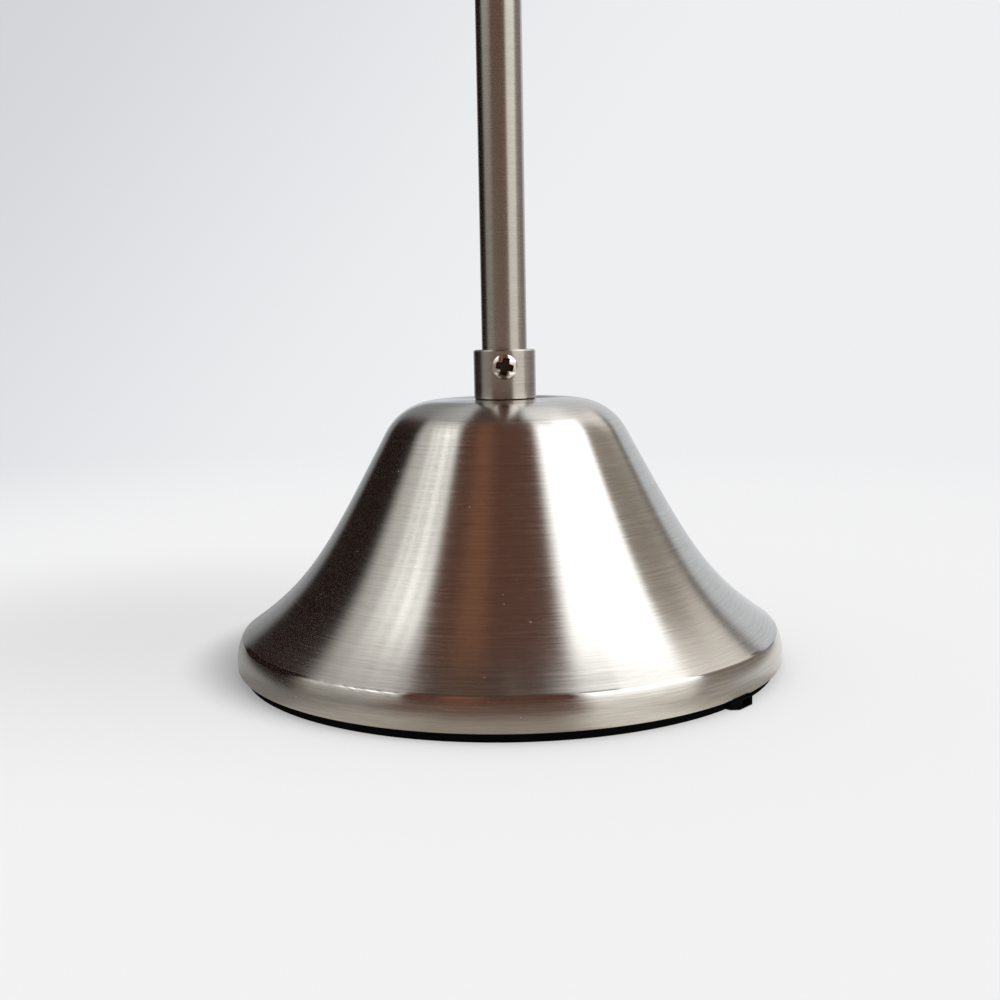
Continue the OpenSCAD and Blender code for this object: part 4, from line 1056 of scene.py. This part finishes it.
def makeKnob(node, ring):
    low, high, radius = reachOf(node)
    outer, inner, floor = radius * ring["outer"], radius * ring["inner"], high - ring["depth"]
    slope, bevel = knobs["slope"], knobs["bevel"]
    outline = soften([(0, low), (radius, low), (radius, high), (outer, high), (outer - slope, floor),
                      (inner + slope, floor), (inner, high), (0, high)],
                     [0, bevel, bevel, *inMm(0.15, 0.1, 0.1, 0.3), 0], 4)
    mesh = spinOutline(outline, knobs["flutes"] * knobs["stepsPerFlute"], closed=False)
    pitch = math.tau / knobs["flutes"]
    flute = knobs["fluteRadius"]
    centre = radius + knobs["fluteOut"] * flute
    for vert in mesh.verts:
        reach = math.hypot(vert.co.x, vert.co.y)
        offset = math.atan2(vert.co.y, vert.co.x) % pitch
        offset = min(offset, pitch - offset)
        aside = centre * math.sin(offset)
        if aside < flute:
            limit = centre * math.cos(offset) - math.sqrt(flute ** 2 - aside ** 2)
            if reach > limit:
                vert.co.x *= limit / reach
                vert.co.y *= limit / reach
    keepFlats(finishPiece(putOnAxis(mesh, node), node, smoothAngle=38))


for node, ring in knobRings.items():
    makeKnob(node, ring)
threadedRod("height_screw")


# the tilt joint
tiltJoint = {"boltShank": 3.0 * mm, "boltEnd": 0.5 * mm, "headHeight": 3.4 * mm, "headRadius": 5.6 * mm,
             "headSide": 0.35, "socket": 4.0 * mm, "socketDepth": 2.2 * mm, "edge": 0.12 * mm}


def makePivotBolt():
    low, high, radius = reachOf("pivot_bolt")
    radius, shank, end = tiltJoint["headRadius"], tiltJoint["boltShank"], tiltJoint["boltEnd"]
    height, side = tiltJoint["headHeight"], tiltJoint["headSide"]
    seat = low + height
    outline = [(0, low)]
    for turn in range(6, 91, 6):
        rise = side + (1 - side) * math.cos(rad(turn))
        outline.append((radius * math.sin(rad(turn)), seat - height * rise))
    outline += [(radius, seat), (shank, seat), (shank, high - end), (shank - end, high), (0, high)]
    key = hexBar(tiltJoint["socket"], 2 * tiltJoint["socketDepth"], low)
    mesh = carve(spinOutline(outline, 72, closed=False), (key, "DIFFERENCE"))
    mesh = putOnAxis(softenEdges(mesh, tiltJoint["edge"], 38), "pivot_bolt")
    finishPiece(mesh, "pivot_bolt", smoothAngle=30)


def makeTiltWashers():
    low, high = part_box("tilt_washers")
    thick = high.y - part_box("arm_tongue")[1].y
    outline = ringOutline(washers["holes"]["tilt_washers"], (high.z - low.z) / 2, -high.y, thick - high.y,
                          washers["edge"])
    mesh = spinOutline(outline, washers["steps"])
    other = moved(mesh.copy(), Matrix.Translation((0, 0, 2 * high.y - thick)))
    keepFlats(finishPiece(putOnAxis(joinMeshes(mesh, other), "tilt_washers"), "tilt_washers"))


makePivotBolt()
makeTiltWashers()
makeWasher("knob_washer")
softPiece("arm_tongue")
print("joints done")


# the arm's far end
lockNut = {"flat": 14 * mm, "hole": 4.9 * mm, "chamfer": 0.75, "chamferIn": 1.2, "chamferDown": 0.7,
           "clear": 0.05 * mm, "edge": 0.15 * mm}
grubScrew = {"radius": 1.5 * mm, "key": 1.5 * mm, "keyDepth": 2 * mm, "bevel": 0.2 * mm}


def hexNut(low, high):
    middle = (low + high) / 2
    flat = lockNut["flat"]
    blank = hexBar(flat, high - low, middle)
    corner = flat / 2 / math.cos(rad(30))
    chamfer = lockNut["chamfer"] * (corner - flat / 2)
    face = corner - chamfer * lockNut["chamferIn"]
    down = chamfer * lockNut["chamferDown"]
    outer = corner + lockNut["clear"]
    turned = spinOutline([(0, low), (face, low), (outer, low + down), (outer, high - down), (face, high),
                          (0, high)], closed=False)
    hole = drill(lockNut["hole"], (high - low) * 2, (0, 0, middle))
    return softenEdges(carve(blank, (turned, "INTERSECT"), (hole, "DIFFERENCE")), lockNut["edge"], 25)


def makeLockNuts():
    low, high, radius = reachOf("shade_lock_nuts")
    thick = reachOf("hood")[0] - low
    mesh = joinMeshes(hexNut(low, low + thick), hexNut(high - thick, high))
    keepFlats(finishPiece(putOnAxis(mesh, "shade_lock_nuts"), "shade_lock_nuts", smoothAngle=25))


def makeGrubScrews():
    low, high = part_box("arm_grub_screws")
    radius = grubScrew["radius"]
    meshes = []
    for x in (low.x + radius, high.x - radius):
        plug = spinOutline(solidOutline(radius, low.z, high.z, grubScrew["bevel"]), 36, closed=False)
        plug = carve(plug, (hexBar(grubScrew["key"], grubScrew["keyDepth"], low.z), "DIFFERENCE"))
        meshes.append(moved(plug, Matrix.Translation((x, 0, 0))))
    finishPiece(joinMeshes(*meshes), "arm_grub_screws", smoothAngle=30)


softPiece("arm_ferrule")
makeWasher("shade_washer")
threadedRod("shade_nipple")
makeLockNuts()
makeGrubScrews()
print("arm done")


# the hood
hood = {"wall": 1.0 * mm, "rearFlat": 12 * mm, "hole": 5.05 * mm, "steps": 192,
        "hemRadius": 1.15 * mm, "hemLift": 0.6, "hemIn": 0.6}


# its outline from the flat rear over the shoulder to the round front end
def hoodOutline(rearSteps, frontSteps):
    low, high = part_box("hood")
    radius, rear = high.y, hood["rearFlat"]
    curve = radius - rear
    outline = arcPoints((rear, low.x + curve), curve, -90, 0, rearSteps)
    return outline + arcPoints((0, high.x - radius), radius, 0, 90, frontSteps)


def makeHood():
    low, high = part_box("hood")
    outline = [(hood["hole"], low.x)] + hoodOutline(28, 32)
    mesh = putOnAxis(spinOutline(outline, hood["steps"], closed=False), "hood")
    cutAway(mesh, (0, 0, low.z), (0, 0, -1))
    addWall(finishPiece(mesh, "hood", 60, "whiteEnamel"), hood["wall"]).material_offset = 1


# the rolled hem runs along the hood's cut edge
def makeHem():
    low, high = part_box("hood")
    radius, rear = high.y, hood["rearFlat"]
    curve = radius - rear
    drop = armHeight - low.z
    side = [(x, math.sqrt(r * r - drop * drop)) for r, x in hoodOutline(40, 48) if r > drop]
    start = low.x + curve - curve * math.cos(math.asin((drop - rear) / curve))
    end = high.x - radius + math.sqrt(radius ** 2 - drop ** 2)
    loop = [(start, 0)] + side + [(end, 0)] + [(x, -y) for x, y in reversed(side)]
    data = bpy.data.curves.new("hem", "CURVE")
    data.dimensions = "3D"
    data.bevel_depth = hood["hemRadius"]
    data.bevel_resolution = 3
    spline = data.splines.new("POLY")
    spline.use_cyclic_u = True
    spline.points.add(len(loop) - 1)
    middle = (start + end) / 2
    for point, (x, y) in zip(spline.points, loop):
        inward = Vector((x - middle, y))
        inward = inward * (1 - hood["hemIn"] * hood["wall"] / max(inward.length, mm))
        point.co = (middle + inward.x, inward.y, low.z + hood["hemRadius"] * hood["hemLift"], 1)
    rope = bpy.data.objects.new("hemCurve", data)
    bpy.context.scene.collection.objects.link(rope)
    bpy.context.view_layer.update()
    tube = bpy.data.meshes.new_from_object(rope)
    mesh = bmesh.new()
    mesh.from_mesh(tube)
    bpy.data.objects.remove(rope)
    bpy.data.curves.remove(data)
    bpy.data.meshes.remove(tube)
    for face in mesh.faces:
        face.smooth = True
    piece = makeObject(tidied(mesh, merge=False), "hoodHem")
    piece.data.materials.append(finishOf("hood"))
    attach(piece, bodyOf["hood"])


makeHood()
makeHem()
print("hood done")


# the lamp socket
socket = {"wall": 1.0 * mm, "beadOut": 0.35 * mm, "beadWidth": 1.6 * mm, "beadSlope": 1.3, "hole": 5.05 * mm,
          "sleeveWall": 0.8 * mm, "sleeveEdge": 0.15 * mm}


def makeSocket():
    wall, hole, width = socket["wall"], socket["hole"], socket["beadWidth"]
    low, high, radius = reachOf("socket_cap")
    outline = [(hole, low), (radius, low), (radius, high), (radius - wall, high), (radius - wall, low + wall),
               (hole, low + wall)]
    turnedPiece("socket_cap", soften(outline, inMm(0.1, 1.6, 0.2, 0.2, 1.0, 0.1)), 120)
    low, high, radius = reachOf("socket_shell")
    body = radius - socket["beadOut"]
    slope = width * socket["beadSlope"]
    outline = [(radius - wall, low), (radius, low), (radius, low + width), (body, low + slope),
               (body, high - slope), (radius, high - width), (radius, high), (radius - wall, high)]
    turnedPiece("socket_shell", soften(outline, inMm(0.15, 0.3, 0.4, 0.3, 0.3, 0.4, 0.5, 0.3)), 120)
    low, high, radius = reachOf("socket_sleeve")
    inner = radius - socket["sleeveWall"]
    turnedPiece("socket_sleeve", ringOutline(inner, radius, low, high, socket["sleeveEdge"]))


# the bulb
bulb = {"pitch": 3.62 * mm, "threadDepth": 0.95 * mm, "contact": 4 * mm, "contactEdge": 0.3 * mm,
        "coneLow": 1 * mm, "coneHigh": 3 * mm, "coneShare": 1.5, "waistAt": 0.3, "waistOut": 1.5 * mm,
        "footOut": 0.5 * mm, "wall": 1.5 * mm, "ledge": 4.5 * mm, "seam": 0.35 * mm}


def makeBulbBase():
    low, high, radius = reachOf("bulb_base")
    tooth = [(radius - bulb["threadDepth"] * (0.5 + 0.5 * math.cos(math.tau * i / 10)), i / 10)
             for i in range(11)]
    coneTop = low + bulb["coneHigh"]
    thread = spinThread(tooth, bulb["pitch"], coneTop, high, 64)
    contact, edge = bulb["contact"], bulb["contactEdge"]
    cone = spinOutline([(0, low), (contact, low), (contact + edge, low + edge),
                        (contact * bulb["coneShare"], low + bulb["coneLow"]),
                        (radius - bulb["threadDepth"], coneTop), (0, coneTop)], 72, closed=False)
    finishPiece(putOnAxis(joinMeshes(thread, cone), "bulb_base"), "bulb_base", smoothAngle=50)


def makeBulbHousing():
    low, high, mouth = reachOf("bulb_housing")
    foot = reachOf("bulb_base")[2] + bulb["footOut"]
    waist = (foot + bulb["waistOut"], low + (high - low) * bulb["waistAt"])
    seam, wall, ledge = mouth - bulb["seam"], bulb["wall"], mouth - bulb["ledge"]
    outer = [(0, low), (foot, low), waist, (mouth, high - 1.6 * mm), (seam, high - 1.3 * mm),
             (seam, high - 0.9 * mm), (mouth, high - 0.6 * mm), (mouth, high)]
    inner = [(ledge, high), (ledge, high - wall), (waist[0] - wall, waist[1]), (foot - wall, low + wall),
             (0, low + wall)]
    sizes = inMm(0, 0.8, 9, 0.3, 0.1, 0.1, 0.15, 0.2, 0.3, 0, 6, 0, 0)
    turnedPiece("bulb_housing", soften(outer + inner, sizes, 8), 120, closed=False)


def makeGlobe():
    low, high, rim = reachOf("bulb_globe")
    bottom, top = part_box("bulb_globe")
    radius = (top.z - bottom.z) / 2
    centre = high - radius
    inside = radius - bulb["wall"]
    start, innerStart = (math.degrees(math.asin((low - centre) / r)) for r in (radius, inside))
    outline = arcPoints((0, centre), radius, start, 90, 40)
    outline += arcPoints((0, centre), inside, innerStart, 90, 30)[::-1]
    turnedPiece("bulb_globe", outline + outline[:1], 120, closed=False)


makeSocket()
makeBulbBase()
makeBulbHousing()
makeGlobe()
print("socket and bulb done")


# the switch's bush and stem
stemParts = {"flangeThick": 1.5 * mm, "bushBody": 3.5 * mm, "hole": 2.3 * mm, "stemEdge": 0.25 * mm}


def makeStemParts():
    low, high, radius = reachOf("stem_bush")
    outline = flangedOutline(stemParts["hole"], stemParts["bushBody"], radius, low,
                             high - stemParts["flangeThick"], high, inMm(0.1, 0.2, 0, 0.1, 0.5, 0.15))
    turnedPiece("stem_bush", outline, 72)
    makeWasher("stem_bush_nut")
    low, high, radius = reachOf("switch_stem")
    turnedPiece("switch_stem", solidOutline(radius, low, high, stemParts["stemEdge"]), 48, closed=False)


makeStemParts()

# every node takes its slot's finish, so those that no piece stands for are finished too
for node, piece in frame["nodes"].items():
    piece.data.materials.clear()
    piece.data.materials.append(finishOf(node))
print("switch and inner parts done")
